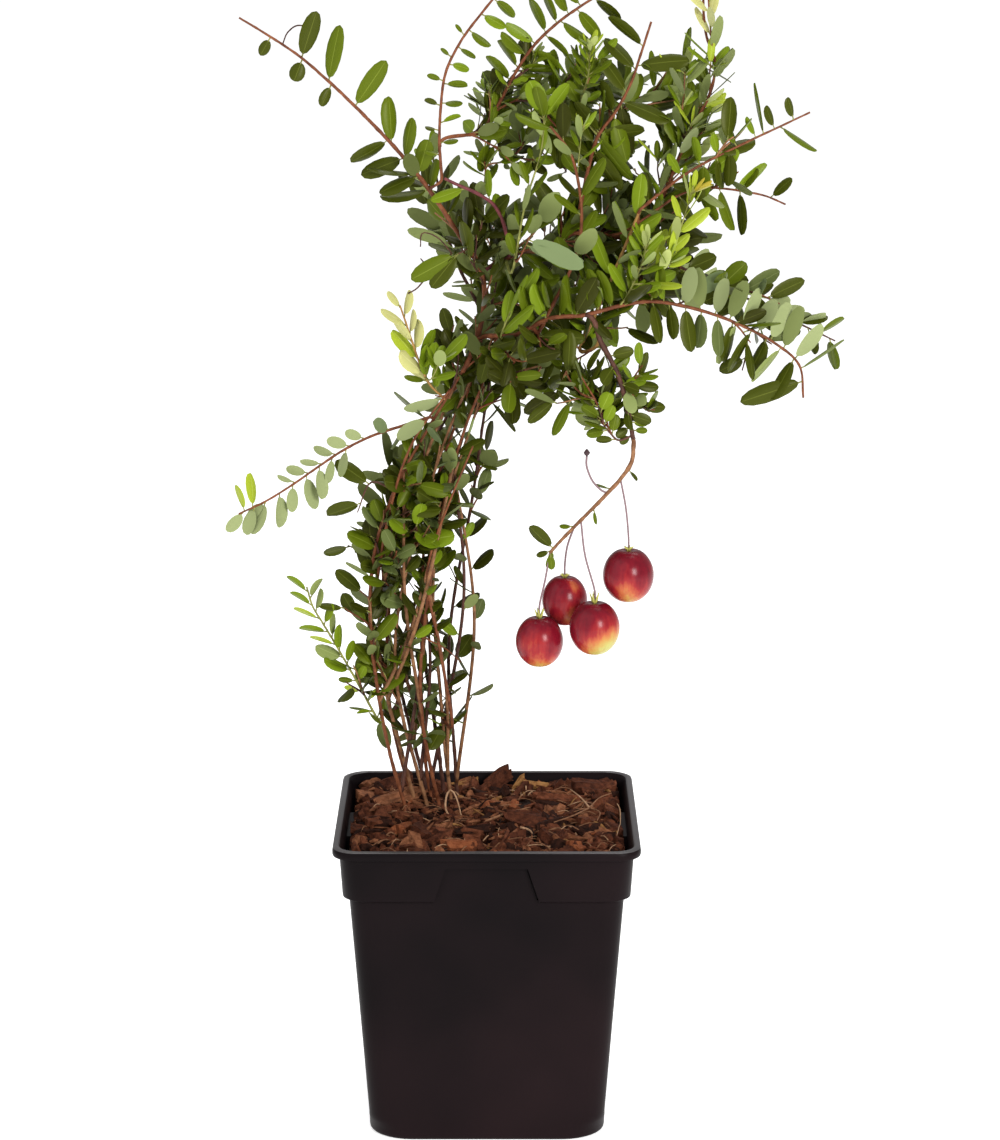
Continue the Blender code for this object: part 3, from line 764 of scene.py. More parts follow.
# Bark of the limbs that have their own, and of the stems from left to right
BOUGH_BARKS = {
    "bough_loop_lower": "wine", "bough_loop_upper": "red", "bough_golden": "golden",
    "bough_low_shoot": "green", "bough_young_shoot": "golden", "bough_left_upper": "red",
    "bough_top_centre": "red", "bough_fruit_upper": "dark", "bough_fruit_lower": "tan",
    "bough_right_spur": "dark", "bough_back_left": "dark",
}
STEM_BARKS = ("red", "tan", "red", "dark", "tan", "red", "dark", "red", "tan", "dark")

# Leaves that sit straight on the main limbs, besides the ones in CLEAR_LEAVES
BOUGH_LOOKS = {
    "bough_left_upper": look(GREEN, 11.5, 9, 0.05, 0.30, 0.42, 60, turned=0.8),
    "bough_left_low": look(("mid", "painted_sheen", "dark"), 9.5, 5, 0.02, 0.28, 0.5),
    "bough_low_shoot": look(SPRING, 5.5, 3.6, 0.0, 0.35, ratio=0.42, tips=("young",)),
    "bough_young_shoot": look(("fresh", "mid"), 7, 4, 0.1, 0.4, ratio=0.4),
    "bough_loop_lower": look(GREEN, 9, 9, 0.3),
    "bough_loop_upper": look(("mid", "fresh", "mid"), 9, 6, 0.84),
    "bough_top_left": look(("mid", "fresh", "mid"), 10.5, 4.6, 0.8, ratio=0.44),
    "bough_top_centre": look(GREEN, 12.5, 3.6, 0.0, 0.42, 0.4),
    "bough_centre": look(DARK, 11.5, 5.5, 0.05),
    "bough_golden": look(SPRING, 12, 3.4, 0.05),
    "bough_right_upper": look(("dark", "mid", "deep"), 12, 3.4, 0.0, 0.26, 0.4),
    "bough_top_right": look(LIGHT, 10.5, 3.0, 0.1, 0.66, spread=42, ratio=0.34),
    "bough_right_low": look(("mid", "dark", "deep"), 10.5, 4.6, 0.0, 0.42, 0.4, 62),
    "bough_right_spur": look(("mid", "dark"), 9.5, 7, 0.0, 0.5, ratio=0.42),
    "bough_fruit_upper": look(GREEN, 7, 3.0, 0.0, 0.72, ratio=0.52),
    "bough_back_left": look(GREEN, 11.5, 4.4, 0.05, tips=("fresh",)),
    "bough_back_right": look(LIGHT, 11.5, 4.4, 0.05),
    "bough_back_low": look(GREEN, 10, 4.2, 0.05),
}

# Twigs of each mass: how many for its area, and their leaves
MASS_LOOKS = {
    "foliage_heart": (1.0, look(DARK, 11)),
    "foliage_heart_front": (1.4, look(DARK, 10.5, 4.4, ratio=0.38)),
    "foliage_heart_back": (0.9, look(DARK, 11.5)),
    "foliage_left_middle": (0.8, look(DARK, 11)),
    "foliage_middle": (1.2, look(GREEN, 11.5)),
    "foliage_right_middle": (1.2, look(GREEN, 11.5)),
    "foliage_back_left": (0.7, look(GREEN)),
    "foliage_back_right": (0.7, look(GREEN)),
    "foliage_top_left": (1.15, look(GREEN, 7.5, 3.3, ratio=0.48, tips=("fresh", "mid"), rosette=3)),
    "foliage_top_middle": (0.95, look(GREEN, 10.5, tips=("fresh", "mid"), rosette=2)),
    "foliage_top_right": (0.8, look(LIGHT, 10.5, 4.0, ratio=0.35, spread=45,
                                    tips=("young", "fresh"), rosette=3)),
    "foliage_top_back": (0.8, look(GREEN, 10, tips=("fresh",))),
    "foliage_right_upper": (0.4, look(LIGHT, 10)),
    "foliage_right_low_top": (0.7, look(("mid", "dark", "painted_sheen", "pale"), 10.5)),
    "foliage_right_low_foot": (0.5, look(("dark", "deep", "painted_sheen"), 10.5)),
    "foliage_fruit_bough": (1.7, look(GREEN, 7, 3.0, ratio=0.52, tips=("fresh", "mid"), rosette=3)),
    "foliage_fruit_side": (1.4, look(("mid", "dark", "fresh"), 7, 3.0, ratio=0.52)),
    "foliage_left_upper_root": (0.3, look(DARK, 11)),
    "foliage_left_upper_tip": (0.0, None),
    "foliage_left_low": (0.0, None),
    "foliage_column_foot": (1.0, look(GREEN, 7.5, 4.4, ratio=0.48, bark=("green", "red", "tan"))),
    "foliage_column_front": (1.7, look(COLUMN, 9, 4.2, ratio=0.5)),
    "foliage_column_right": (1.0, look(COLUMN, 9.5, ratio=0.48)),
    "foliage_column_back": (1.1, look(DARK, 10, ratio=0.46)),
    "foliage_back_side": (0.5, look(LIGHT, 11)),
    "foliage_back_spray": (0.5, look(GREEN, 11)),
    "foliage_low_shoot": (0.0, None),
    "foliage_back_low": (0.8, look(GREEN, 9.5)),
}
STEM_LOOK = look(COLUMN, 8, 8, 0.14, 0.96, ratio=0.5)
RUNNER_LOOK = look(COLUMN, 7.5, 8.5, 0.2, 0.98, ratio=0.5)

# Shoots that stand out: places on the way to their tip, radius in mm, bark, and their leaves
SHOOTS = {
    "whorl": (((27, -11, 303), (29, -13.5, 313), (29.5, -14, 321)), 0.36, "green",
              look(("fresh", "mid", "fresh"), 6.5, 1.1, 0.25, ratio=0.42, spread=60,
                   tips=("fresh", "young"), rosette=9)),
    "upright": (((7.5, -20, 258), (11, -22, 277), (15.5, -22, 292), (16.5, -21, 303)), 0.42,
                "green", look(("fresh", "mid", "young"), 8.5, 4.2, 0.3, ratio=0.36, spread=32,
                              tips=("fresh",), rosette=2)),
    "feathery": (((26, -23, 288), (27.1, -24, 299)), 0.25, "green",
                 look(("fresh", "young"), 8, 2.6, 0.4, ratio=0.24, spread=55, rosette=4)),
    "blush": (((64.5, -9, 320), (63.5, -10.5, 330), (62.5, -11.5, 341)), 0.35, "red",
              look(("cream", "pale", "cream", "blush"), 10.5, 2.2, 0.25, ratio=0.36, spread=30,
                   rosette=3)),
    "gold": (((47, -25, 260), (54, -28, 269), (58.4, -28, 282)), 0.34, "green",
             look(("young", "young", "pale"), 9.5, 2.6, 0.25, ratio=0.32, spread=32,
                  tips=("young", "gold", "young"), rosette=4)),
    "bright": (((40, -29, 252), (43.5, -31, 260), (45.5, -31, 267)), 0.34, "green",
               look(("fresh", "young", "fresh"), 9, 1.5, 0.15, ratio=0.36, spread=48,
                    tips=("young", "fresh"), rosette=7)),
    "bright_side": (((47, -29, 256), (52, -30, 262)), 0.32, "green",
                    look(("fresh", "young", "fresh"), 9, 1.8, 0.3, ratio=0.36, spread=44,
                         rosette=5)),
    "dark_loop": (((37.8, -32.5, 211), (35.5, -33, 213), (33.6, -33, 215.4), (32.6, -33, 218.5),
                   (31.7, -32, 221.5)), 0.36, "dark", None),
    "fresh_heart": (((4, -27, 240), (8, -28, 250)), 0.3, "green",
                    look(("fresh", "fresh", "mid"), 11.5, 3.2, 0.4, ratio=0.4, spread=30)),
    "yellow": (((-16, -16, 226), (-13, -18, 232)), 0.3, "green",
               look(("fresh", "young", "fresh"), 8.5, 2.0, 0.5, ratio=0.52, rosette=4)),
    "climber": (((-33.5, 4, 158.5), (-31.5, 0, 169.5), (-29.5, -4, 180.5), (-26.5, -8, 193),
                 (-23.5, -10, 202), (-19.5, -10.5, 210), (-10.5, -9, 222)), 0.6, "red", None),
    "second_climber": (((-10.5, 7, 117), (-14.5, 3, 143), (-17.5, -1, 160), (-16.5, -4, 172),
                        (-11, -8, 188), (-4, -9, 205)), 0.55, "red", None),
    "cross": (((36, -6, 302), (46, -5, 304), (56, -4, 305.5)), 0.4, "tan",
              look(("mid", "dark", "mid"), 12, 3.4, 0.15, 0.8, ratio=0.4, spread=66)),
    "pair": (((9, -28, 262), (12.4, -31, 269)), 0.3, "red", None),
    "low_leaf": (((-6, -12, 263), (-9, -13, 261.5)), 0.3, "dark", None),
    "lone": (((-34, -8, 194), (-38, -8, 185)), 0.35, "dark", None),
    "link": (((-18, 2, 144.5), (-12.5, 4, 141), (-7.7, 5, 136.6)), 0.32, "red", None),
}

# Twigs that fill gaps between the masses, as in the photo: box in mm, how many, and their leaves
FILLS = {
    "leaves_top": ((33, 60), (-12, 8), (264, 296), 17,
                   look(("dark", "deep", "mid", "dark"), 12.5, 4.8, ratio=0.36)),
    "leaves_right": ((30, 56), (-22, 2), (240, 266), 14, look(GREEN, 11.5, 4.4, ratio=0.4)),
    "leaves_column": ((-44, -33), (-4, 10), (128, 178), 9, look(COLUMN, 8.5, 4.2, ratio=0.48)),
}

# Leaves that stand clear of the crown. Each stretch of a limb: from and to in percent of it, how
# many, their side as seen from the front looking along the limb, their angle to it in degrees,
# length in mm at its start and end, the width that shows as a share of that, below zero where the
# underside shows, and the palettes
LEFT, RIGHT, BOTH = 1, -1, 0
CLEAR_LEAVES = {
    "bough_left_upper": (
        (53, 84, 3, RIGHT, 75, (14.5, 13), 0.4, ("dark", "mid")),
        (62, 95, 3, LEFT, 100, (6.5, 4.5), 0.68, ("dark",)),
        (22, 46, 4, RIGHT, 40, (8, 13), 0.42, ("dark", "mid")),
        (27, 48, 3, LEFT, 80, (12.5, 12), 0.36, ("dark", "mid")),
    ),
    "bough_left_low": (
        (28, 74, 6, RIGHT, 50, (5.5, 4.5), -0.55, ("pale",)),
        (38, 90, 7, LEFT, 60, (7.5, 8.5), -0.42, ("pale", "pale", "fresh")),
        (91, 99, 2, RIGHT, 105, (7.5, 8.5), 0.28, ("young",)),
        (84, 100, 3, LEFT, 35, (7, 7.5), -0.48, ("pale",)),
    ),
    "bough_young_shoot": (
        (18, 40, 4, BOTH, 28, (8.5, 10), 0.38, ("fresh", "dark", "cream")),
        (42, 100, 7, BOTH, 20, (9, 6), 0.3, ("cream", "young", "cream", "gold")),
    ),
    "bough_low_shoot": (
        (2, 32, 4, BOTH, 60, (4.2, 4.2), 0.48, ("fresh", "young", "fresh")),
        (34, 99, 13, BOTH, 42, (7, 6.5), 0.38, ("fresh", "young", "pale", "fresh")),
    ),
    "bough_right_low": (
        (3, 46, 11, LEFT, 85, (10, 10), 0.28, ("mid", "mid", "fresh", "mid")),
        (48, 90, 9, LEFT, 98, (10, 11), -0.38, ("pale", "pale", "mid")),
        (38, 68, 6, RIGHT, 75, (9.5, 11.5), 0.33, ("mid", "painted_sheen", "dark")),
        (64, 90, 5, RIGHT, 85, (11, 11), 0.3, ("deep", "pale", "dark")),
        (95, 95, 1, RIGHT, 80, (17, 17), 0.4, ("dark",)),
        (91, 91, 1, LEFT, 105, (15.5, 15.5), 0.05, ("mid",)),
    ),
    "bough_right_spur": (
        (8, 50, 5, RIGHT, 125, (7.5, 7), 0.55, ("deep", "dark")),
        (18, 38, 2, LEFT, 60, (5, 8.5), 0.6, ("mid", "dark")),
        (54, 82, 4, LEFT, 35, (7.5, 7), -0.55, ("pale", "pale", "fresh")),
        (74, 100, 4, BOTH, 45, (7, 8), 0.38, ("mid", "dark")),
    ),
    "bough_fruit_lower": (
        (10, 84, 4, BOTH, 65, (3.6, 3), 0.38, ("mid", "dark")),
        (96, 96, 1, RIGHT, 90, (7.5, 7.5), 0.55, ("dark",)),
        (96, 100, 3, BOTH, 35, (4.4, 3.5), 0.55, ("dark", "mid")),
    ),
    "bough_fruit_upper": ((72, 97, 6, BOTH, 70, (5.2, 3.4), 0.6, ("dark", "mid", "deep")),),
    "dark_loop": ((25, 100, 7, BOTH, 55, (4.6, 5), 0.65, ("mid", "dark", "fresh")),),
    "bough_loop_upper": (
        (10, 82, 9, RIGHT, 85, (4.5, 6.5), 0.38, ("mid", "fresh", "mid")),
        (4, 64, 6, LEFT, 75, (3.8, 3), 0.4, ("dark", "mid")),
    ),
    "bough_top_left": (
        (20, 72, 8, LEFT, 80, (8, 10), 0.33, ("mid", "fresh", "mid")),
        (8, 80, 8, RIGHT, 75, (6, 9.5), 0.32, ("mid", "mid", "dark")),
    ),
    "bough_top_centre": (
        (28, 94, 6, LEFT, 65, (9, 11), 0.35, ("dark", "mid")),
        (34, 64, 5, RIGHT, 125, (11.5, 14), 0.32, ("dark", "deep", "mid")),
        (36, 88, 3, RIGHT, 60, (12, 14), 0.34, ("dark", "mid")),
    ),
    "bough_right_upper": (
        (22, 96, 7, LEFT, 80, (7, 5), 0.4, ("dark", "mid", "fresh")),
        (30, 58, 4, RIGHT, 110, (7.5, 8.5), 0.42, ("mid", "dark")),
        (74, 74, 1, LEFT, 85, (14, 14), 0.05, ("mid",)),
        (83, 83, 1, RIGHT, 45, (12.5, 12.5), 0.08, ("mid",)),
    ),
    "bough_right_middle": (
        (10, 98, 5, LEFT, 75, (5, 8), 0.3, ("mid", "dark", "fresh")),
        (24, 76, 4, RIGHT, 75, (9, 12), 0.27, ("dark", "mid", "fresh")),
        (66, 66, 1, LEFT, 30, (12.5, 12.5), 0.36, ("fresh",)),
    ),
    "upright": ((96, 100, 3, BOTH, 25, (9.5, 9.5), 0.5, ("fresh", "mid")),),
    "pair": ((76, 100, 2, RIGHT, 72, (14, 14), -0.31, ("painted_sheen",)),),
    "low_leaf": ((86, 100, 2, LEFT, 15, (10, 13), 0.42, ("dark", "mid")),),
    "lone": ((30, 100, 2, RIGHT, 65, (9, 10.5), 0.44, ("dark",)),),
    "climber": (
        (80, 100, 2, LEFT, 150, (9, 10), -0.46, ("painted_sheen", "pale")),
        (62, 62, 1, RIGHT, 50, (6, 6), 0.42, ("mid",)),
    ),
}

# Dry tendrils without leaves: places and radius in mm
TENDRILS = (
    (((-58.3, -5, 321.5), (-57, -5, 324.5), (-54.5, -5, 326.5), (-51.7, -5, 326.5)), 0.22),
    (((-10, -12, 262), (-14, -12, 266.5), (-18.4, -13, 268), (-19, -13, 264)), 0.2),
    (((-10, -11, 262), (-12.6, -12, 258), (-16, -13, 256.5), (-20, -13, 252),
      (-22.7, -13, 250.5)), 0.25),
    (((-19, -12, 260.5), (-16.5, -13, 257.6), (-14.5, -13, 257.5)), 0.22),
)


# First seed of each kind of growth, and the step from one mass's twigs to the next's
SEEDS = {"boughs": 300, "shoots": 400, "clear": 500, "stems": 700, "runners": 800, "goals": 1000,
         "twigs": 5000, "fill_goals": 60, "fill_twigs": 9000, "runner_ways": 77}
SEED_STEP = 97


def leaf_piece(mass):
    """The joined piece that a mass's leaves go into."""
    if "column" in mass or mass.endswith(("_low", "_low_shoot")):
        return "leaves_column"
    if mass.startswith("foliage_top"):
        return "leaves_top"
    if "right" in mass or "fruit" in mass:
        return "leaves_right"
    return "leaves_heart"


def add_runners(crown, stem_routes):
    """Thin shoots that climb from one stem across to another."""
    dice = random.Random(SEEDS["runner_ways"])
    for number in range(RUNNER_COUNT):
        first, second = dice.sample(stem_routes, 2)
        start = first[int(len(first) * dice.uniform(0.02, 0.3))]
        end = second[int(len(second) * dice.uniform(0.45, 0.85))]
        bow = point(dice.gauss(0, 3.5), dice.gauss(0, 3.5), 0)
        bend = start.lerp(end, dice.uniform(0.35, 0.6)) + bow
        route = smooth_route([start, bend, end], 40)
        crown.grow(route, *RUNNER_RADII, dice.choice(("tan", "dark", "red", "tan")))
        crown.dress(route, SEEDS["runners"] + number, RUNNER_LOOK)


def grow_plant():
    """Stems, boughs, twigs and leaves, each growing on from what is there before it."""
    crown = Crown()
    stems = sorted(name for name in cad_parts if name.startswith("stem_"))
    stem_routes = [crown.limb(name, bark) for name, bark in zip(stems, STEM_BARKS)]
    for route in stem_routes:
        crown.remember(route, 8)
    waiting = {name: limb_axis(name)[0][0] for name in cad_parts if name.startswith("bough_")}
    boughs = list(waiting)
    while waiting:
        name = min(waiting, key=lambda n: min((spot - waiting[n]).length for spot in crown.spots))
        del waiting[name]
        crown.remember(crown.limb(name, BOUGH_BARKS.get(name, "red")))
    crown.open_part("leaves_boughs")
    for number, (name, dressing) in enumerate(BOUGH_LOOKS.items()):
        crown.dress(crown.limbs[name], SEEDS["boughs"] + number, dressing)
    for number, (name, (places, thick, bark, dressing)) in enumerate(SHOOTS.items()):
        crown.shoot(name, places, thick, bark, SEEDS["shoots"] + number, dressing)
    for number, name in enumerate(CLEAR_LEAVES):
        crown.stand_clear(name, SEEDS["clear"] + number)
    for places, thick in TENDRILS:
        route = smooth_route(points(places), 16)
        add_tube(crown.twigs, route, taper(route, thick, thick), 5, BARK_NAMES.index("dark"),
                 rough=0.1)
    crown.open_part("leaves_column")
    for number, name in enumerate(stems):
        crown.dress(crown.limbs[name], SEEDS["stems"] + number, STEM_LOOK)
    add_runners(crown, stem_routes)
    for number, (name, (density, dressing)) in enumerate(MASS_LOOKS.items()):
        crown.open_part(leaf_piece(name))
        dice = random.Random(SEEDS["goals"] + number)
        goals = mass_goals(name, density, dice) if density else []
        crown.twigs_to(goals, SEEDS["twigs"] + SEED_STEP * number, dressing)
    for number, (piece, (across, deep, high, count, dressing)) in enumerate(FILLS.items()):
        crown.open_part(piece)
        dice = random.Random(SEEDS["fill_goals"] + number)
        goals = [point(dice.uniform(*across), dice.uniform(*deep), dice.uniform(*high))
                 for _ in range(count)]
        crown.twigs_to(goals, SEEDS["fill_twigs"] + SEED_STEP * number, dressing)
    finish_plant(crown, stems + boughs)


def finish_plant(crown, limb_nodes):
    """Builds the joined pieces and hides the frame nodes that they replace."""
    keep(crown.bark.build("limbs", bark_materials("bark")), "bark", *limb_nodes)
    keep(crown.twigs.build("twigs", bark_materials("twig")), "bark")
    shades = leaf_materials()
    masses = [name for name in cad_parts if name.startswith("foliage_")]
    for name, soup in crown.leaves.items():
        own = [mass for mass in masses if leaf_piece(mass) == name]
        keep(soup.build(name, shades, sharp=55), "leaves", *own)


# Fruit

# Berries: centre, half width and half height, where the stalk leaves the bough, how far the stalk
# bows to the right, how far the sepals rise, and pale patches: the way each faces, size, strength
BERRIES = (
    ((40.9, -31, 171.3), 7.4, 8.1, (38.7, -32, 199.8), 0.4, 1.4,
     (((-0.12, -0.9, -0.42), 0.10, 0.34), ((0.2, -0.45, -0.9), 0.16, 0.42))),
    ((22.7, -25, 162.5), 6.6, 7.6, (26.0, -33, 185.2), -0.6, 1.2,
     (((0.35, -0.55, 0.62), 0.07, 0.55), ((0.25, -0.75, -0.45), 0.16, 0.34))),
    ((15.3, -33, 152.2), 6.9, 7.7, (18.2, -34, 178.0), 0.2, 3.0,
     (((-0.3, -0.85, 0.3), 0.26, 0.20), ((0.1, -0.5, -0.95), 0.16, 0.48))),
    ((31.1, -36, 156.9), 7.3, 8.1, (28.0, -33, 187.0), -0.8, 3.4,
     (((0.75, -0.45, -0.45), 0.34, 0.62), ((0.1, -0.6, -0.9), 0.22, 0.42))),
)
BERRY_RINGS, BERRY_SIDES = 24, 32
TOP_DIMPLE, FOOT_DIMPLE = (0.15, 0.28), (0.08, 0.2)  # depth as a share, reach in radians
STREAKS = ((900, 900, 130), 0.16), ((260, 260, 200), 0.22)  # fineness along each axis, strength
PALE_MIDDLE, PALE_FALL = 0.20, 0.12  # share of pale at mid height, and how it falls upwards
DIMPLE_TOP = 0.86  # the stalk's end, as a share of the half height
STALK_DROP = 4 * MM  # the last stretch of the stalk, straight down
STALK_RADIUS = 0.30
SEPAL_COUNT = 5
SEPAL_RADII = 0.45 * MM, 0.38 * MM, 0.1 * MM
BUD_SCALES = (-0.6, 0.35), (0.2, 1.0)  # how far each starts above the stalk's end, and its radius
BUD_STALK = ((34.6, -33, 196.0), (33.2, -33, 196.3), (30.4, -33, 199.2), (28.7, -33, 203.4),
             (28.7, -33, 206.6))


def nearest(route, place):
    return min(route, key=lambda spot: (spot - place).length)


def berry_material():
    """Crimson that runs to orange and yellow-green in the pale patches, finely streaked upright."""
    material = plain_material("berry_skin", (0.35, 0.02, 0.03), 0.24, 0.19)
    tree = material.node_tree
    pale = add_node(tree, "Attribute")
    pale.attribute_name = "pale"
    total = pale.outputs["Fac"]
    coordinates = add_node(tree, "TexCoord").outputs["Object"]
    for scale, amount in STREAKS:
        stretch = add_node(tree, "Mapping", Scale=scale)
        tree.links.new(coordinates, stretch.inputs["Vector"])
        cloud = add_noise(tree, stretch.outputs["Vector"], 1.0, 4.0)
        swing = add_math(tree, "SUBTRACT", cloud, 0.5)
        total = add_math(tree, "MULTIPLY_ADD", swing, 2 * amount, total)
    color_by(tree, total, (
        (0.00, (0.090, 0.003, 0.009)), (0.22, (0.160, 0.005, 0.013)),
        (0.42, (0.275, 0.017, 0.019)), (0.60, (0.420, 0.095, 0.038)),
        (0.78, (0.450, 0.240, 0.060)), (1.00, (0.430, 0.400, 0.110))))
    return material


def add_berry(soup, pale, middle, half_width, half_height, patches):
    """A berry with a dimple at each end; pale takes a share for each corner, high in its patches."""
    verts = []
    for i in range(BERRY_RINGS + 1):
        polar = math.pi * i / BERRY_RINGS
        dimple = 1.0
        for gap, (depth, reach) in ((polar, TOP_DIMPLE), (math.pi - polar, FOOT_DIMPLE)):
            dimple -= depth * math.exp(-(gap / reach) ** 2)
        for k in range(BERRY_SIDES):
            angle = math.tau * k / BERRY_SIDES
            way = Vector((math.sin(polar) * math.cos(angle), math.sin(polar) * math.sin(angle),
                          math.cos(polar)))
            verts.append((middle.x + half_width * way.x, middle.y + half_width * way.y,
                          middle.z + half_height * way.z * dimple))
            share = PALE_MIDDLE - PALE_FALL * way.z
            for patch_way, size, strength in patches:
                share += strength * math.exp(-(1 - way.dot(Vector(patch_way).normalized())) / size)
            pale.append(share)
    soup.add(verts, quads(BERRY_RINGS + 1, BERRY_SIDES, flip=True), 0)


def add_stalk(soup, route):
    add_tube(soup, route, taper(route, STALK_RADIUS, STALK_RADIUS), 6, 0)


def make_berries():
    """Four berries with their sepals, the thin stalks that carry them, and a dry bud."""
    soup, stalks = Soup(), Soup()
    pale = []
    bough = smooth_route(limb_axis("bough_fruit_lower")[0], 60)
    for number, (centre, half_width, half_height, root, bow, rise, patches) in enumerate(BERRIES):
        middle = point(*centre)
        add_berry(soup, pale, middle, half_width * MM, half_height * MM, patches)
        top = middle + UP * half_height * MM * DIMPLE_TOP
        high = top + UP * STALK_DROP
        start = nearest(bough, point(*root))
        bend = start.lerp(high, 0.5) + point(bow, 0, 0)
        add_stalk(stalks, smooth_route([start, bend, high, top], 14))
        for k in range(SEPAL_COUNT):
            angle = math.tau * k / SEPAL_COUNT + number
            out = Vector((math.cos(angle), math.sin(angle), 0)) * MM
            route = [top, top + out * 0.6 + UP * 0.9 * MM, top + out * 1.5 + UP * rise * MM]
            add_tube(stalks, route, SEPAL_RADII, 5, 1)
    berries = soup.build("berries", [berry_material()])
    layer = berries.data.attributes.new("pale", "FLOAT", "POINT")
    layer.data.foreach_set("value", pale)
    bud_places = points(BUD_STALK)
    bud = smooth_route([nearest(bough, bud_places[0])] + bud_places, 14)
    add_stalk(stalks, bud)
    for rise, radius in BUD_SCALES:
        tip = bud[-1] + UP * rise * MM
        add_tube(stalks, [tip, tip + UP * 0.7 * MM, tip + UP * 1.7 * MM],
                 [radius * 0.6 * MM, radius * MM, 0.25 * MM], 7, 2)
    stalk = stalks.build("stalks", [
        plain_material("stalk_purple", (0.20, 0.125, 0.135), 0.55, 0.3),
        plain_material("stalk_green", (0.42, 0.40, 0.09), 0.5, 0.3),
        plain_material("bud_dry", (0.055, 0.030, 0.034), 0.7, 0.2)])
    for piece in (berries, stalk):
        keep(piece, "bark")


# Pot

# Near-black plastic; the coarse noise deals broad lighter blotches over the wall, a painted
# reflection
POT_COLOURS_AND_PAINTED_REFLECTION = (0.0040, 0.0030, 0.0034), (0.0085, 0.0050, 0.0057), (0.0130, 0.0070, 0.0078)
# The lip's colours are lighter than the wall's: a painted highlight along the rim's top
LIP_HIGHLIGHT_SHADES = (0.024, 0.020, 0.022), (0.044, 0.037, 0.040)
POT_BUMP = 0.1, 0.3 * MM
POT_SHARP_ANGLE = 32
CORNER_STEPS = 8
LIP_HIGHLIGHT_BAND = 0.5 * MM  # what lies less far below the rim takes the lip's lighter colour, a painted highlight


def square_ring(half, corner, z):
    """Places on a square with round corners, at one height."""
    ring = []
    for quarter in range(4):
        turn = math.pi / 2 * quarter
        for step in range(CORNER_STEPS + 1):
            angle = math.pi / 2 * step / CORNER_STEPS
            x = half - corner + corner * math.cos(angle)
            y = half - corner + corner * math.sin(angle)
            ring.append((x * math.cos(turn) - y * math.sin(turn),
                         x * math.sin(turn) + y * math.cos(turn), z))
    return ring


def body_half(z):
    return blend(BODY_FOOT_HALF, BODY_TOP_HALF, z / COLLAR_FOOT)


def panel_face(z):
    return body_half(z) + PANEL_PROUD


def foot_levels():
    """Height, half width and corner radius up the foot, whose corners are roundest at the ground."""
    levels = []
    foot_half = body_half(FOOT_HEIGHT)
    for k in range(5):
        angle = math.pi / 2 * k / 4
        levels.append((FOOT_CHAMFER * (1 - math.cos(angle)),
                       foot_half - FOOT_CHAMFER * (1 - math.sin(angle)), FOOT_CORNER))
    for share in (0.35, 0.6, 0.8, 1.0):
        turn = 0.5 - 0.5 * math.cos(math.pi * share)
        levels.append((blend(FOOT_CHAMFER, FOOT_HEIGHT, share), foot_half,
                       blend(FOOT_CORNER, BODY_CORNER, turn)))
    return levels


def pot_profile():
    """Half width, corner radius and height of each ring, up the outside and down the inside."""
    foot_half = body_half(FOOT_HEIGHT)
    profile = [(half, corner, z) for z, half, corner in foot_levels()]
    outside = [
        (body_half(40 * MM), BODY_CORNER, 40 * MM),
        (BODY_TOP_HALF, BODY_CORNER, COLLAR_FOOT - COLLAR_STEP / 2),
        (BODY_TOP_HALF + 0.4 * MM, BODY_CORNER, COLLAR_FOOT - 0.2 * MM),
        (COLLAR_FOOT_HALF - 0.5 * MM, CORNER, COLLAR_FOOT),
        (COLLAR_FOOT_HALF - 0.1 * MM, CORNER, COLLAR_FOOT + 0.3 * MM),
        (COLLAR_FOOT_HALF, CORNER, COLLAR_FOOT + COLLAR_STEP / 2),
        (COLLAR_TOP_HALF, CORNER, LIP_FOOT - 0.5 * MM),
        (COLLAR_TOP_HALF + 0.3 * MM, CORNER, LIP_FOOT - 0.1 * MM),
        (LIP_HALF - 0.7 * MM, CORNER, LIP_FOOT),
        (LIP_HALF - 0.2 * MM, CORNER, LIP_FOOT + 0.2 * MM),
        (LIP_HALF, CORNER, LIP_FOOT + 0.8 * MM),
        (LIP_HALF, CORNER, POT_HEIGHT - 1.0 * MM),
        (LIP_HALF - 0.25 * MM, CORNER, POT_HEIGHT - 0.35 * MM),
        (LIP_HALF - 0.9 * MM, CORNER, POT_HEIGHT),
    ]
    inside = [
        (LIP_HALF - 1.6 * MM, BODY_CORNER, POT_HEIGHT),
        (LIP_HALF - 2.0 * MM, BODY_CORNER, POT_HEIGHT - 0.3 * MM),
        (LIP_HALF - 2.5 * MM, BODY_CORNER, POT_HEIGHT - 1.4 * MM),
        (COLLAR_TOP_HALF - WALL, BODY_CORNER, POT_HEIGHT - 3.4 * MM),
        (COLLAR_FOOT_HALF - WALL, BODY_CORNER, COLLAR_FOOT + COLLAR_STEP / 2),
        (BODY_TOP_HALF - WALL, INNER_CORNER, COLLAR_FOOT - COLLAR_STEP),
        (foot_half - WALL, INNER_CORNER, FOOT_HEIGHT),
        (foot_half - WALL, FOOT_CORNER, FLOOR),
    ]
    return profile + outside + inside


def combine(pot, guide, operation):
    """Cuts a guide shape out of the pot, or joins it to the pot, and removes the guide."""
    change = pot.modifiers.new("change", "BOOLEAN")
    change.operation = operation
    change.object = guide
    bpy.context.view_layer.objects.active = pot
    bpy.ops.object.modifier_apply(modifier=change.name)
    bpy.data.objects.remove(guide)


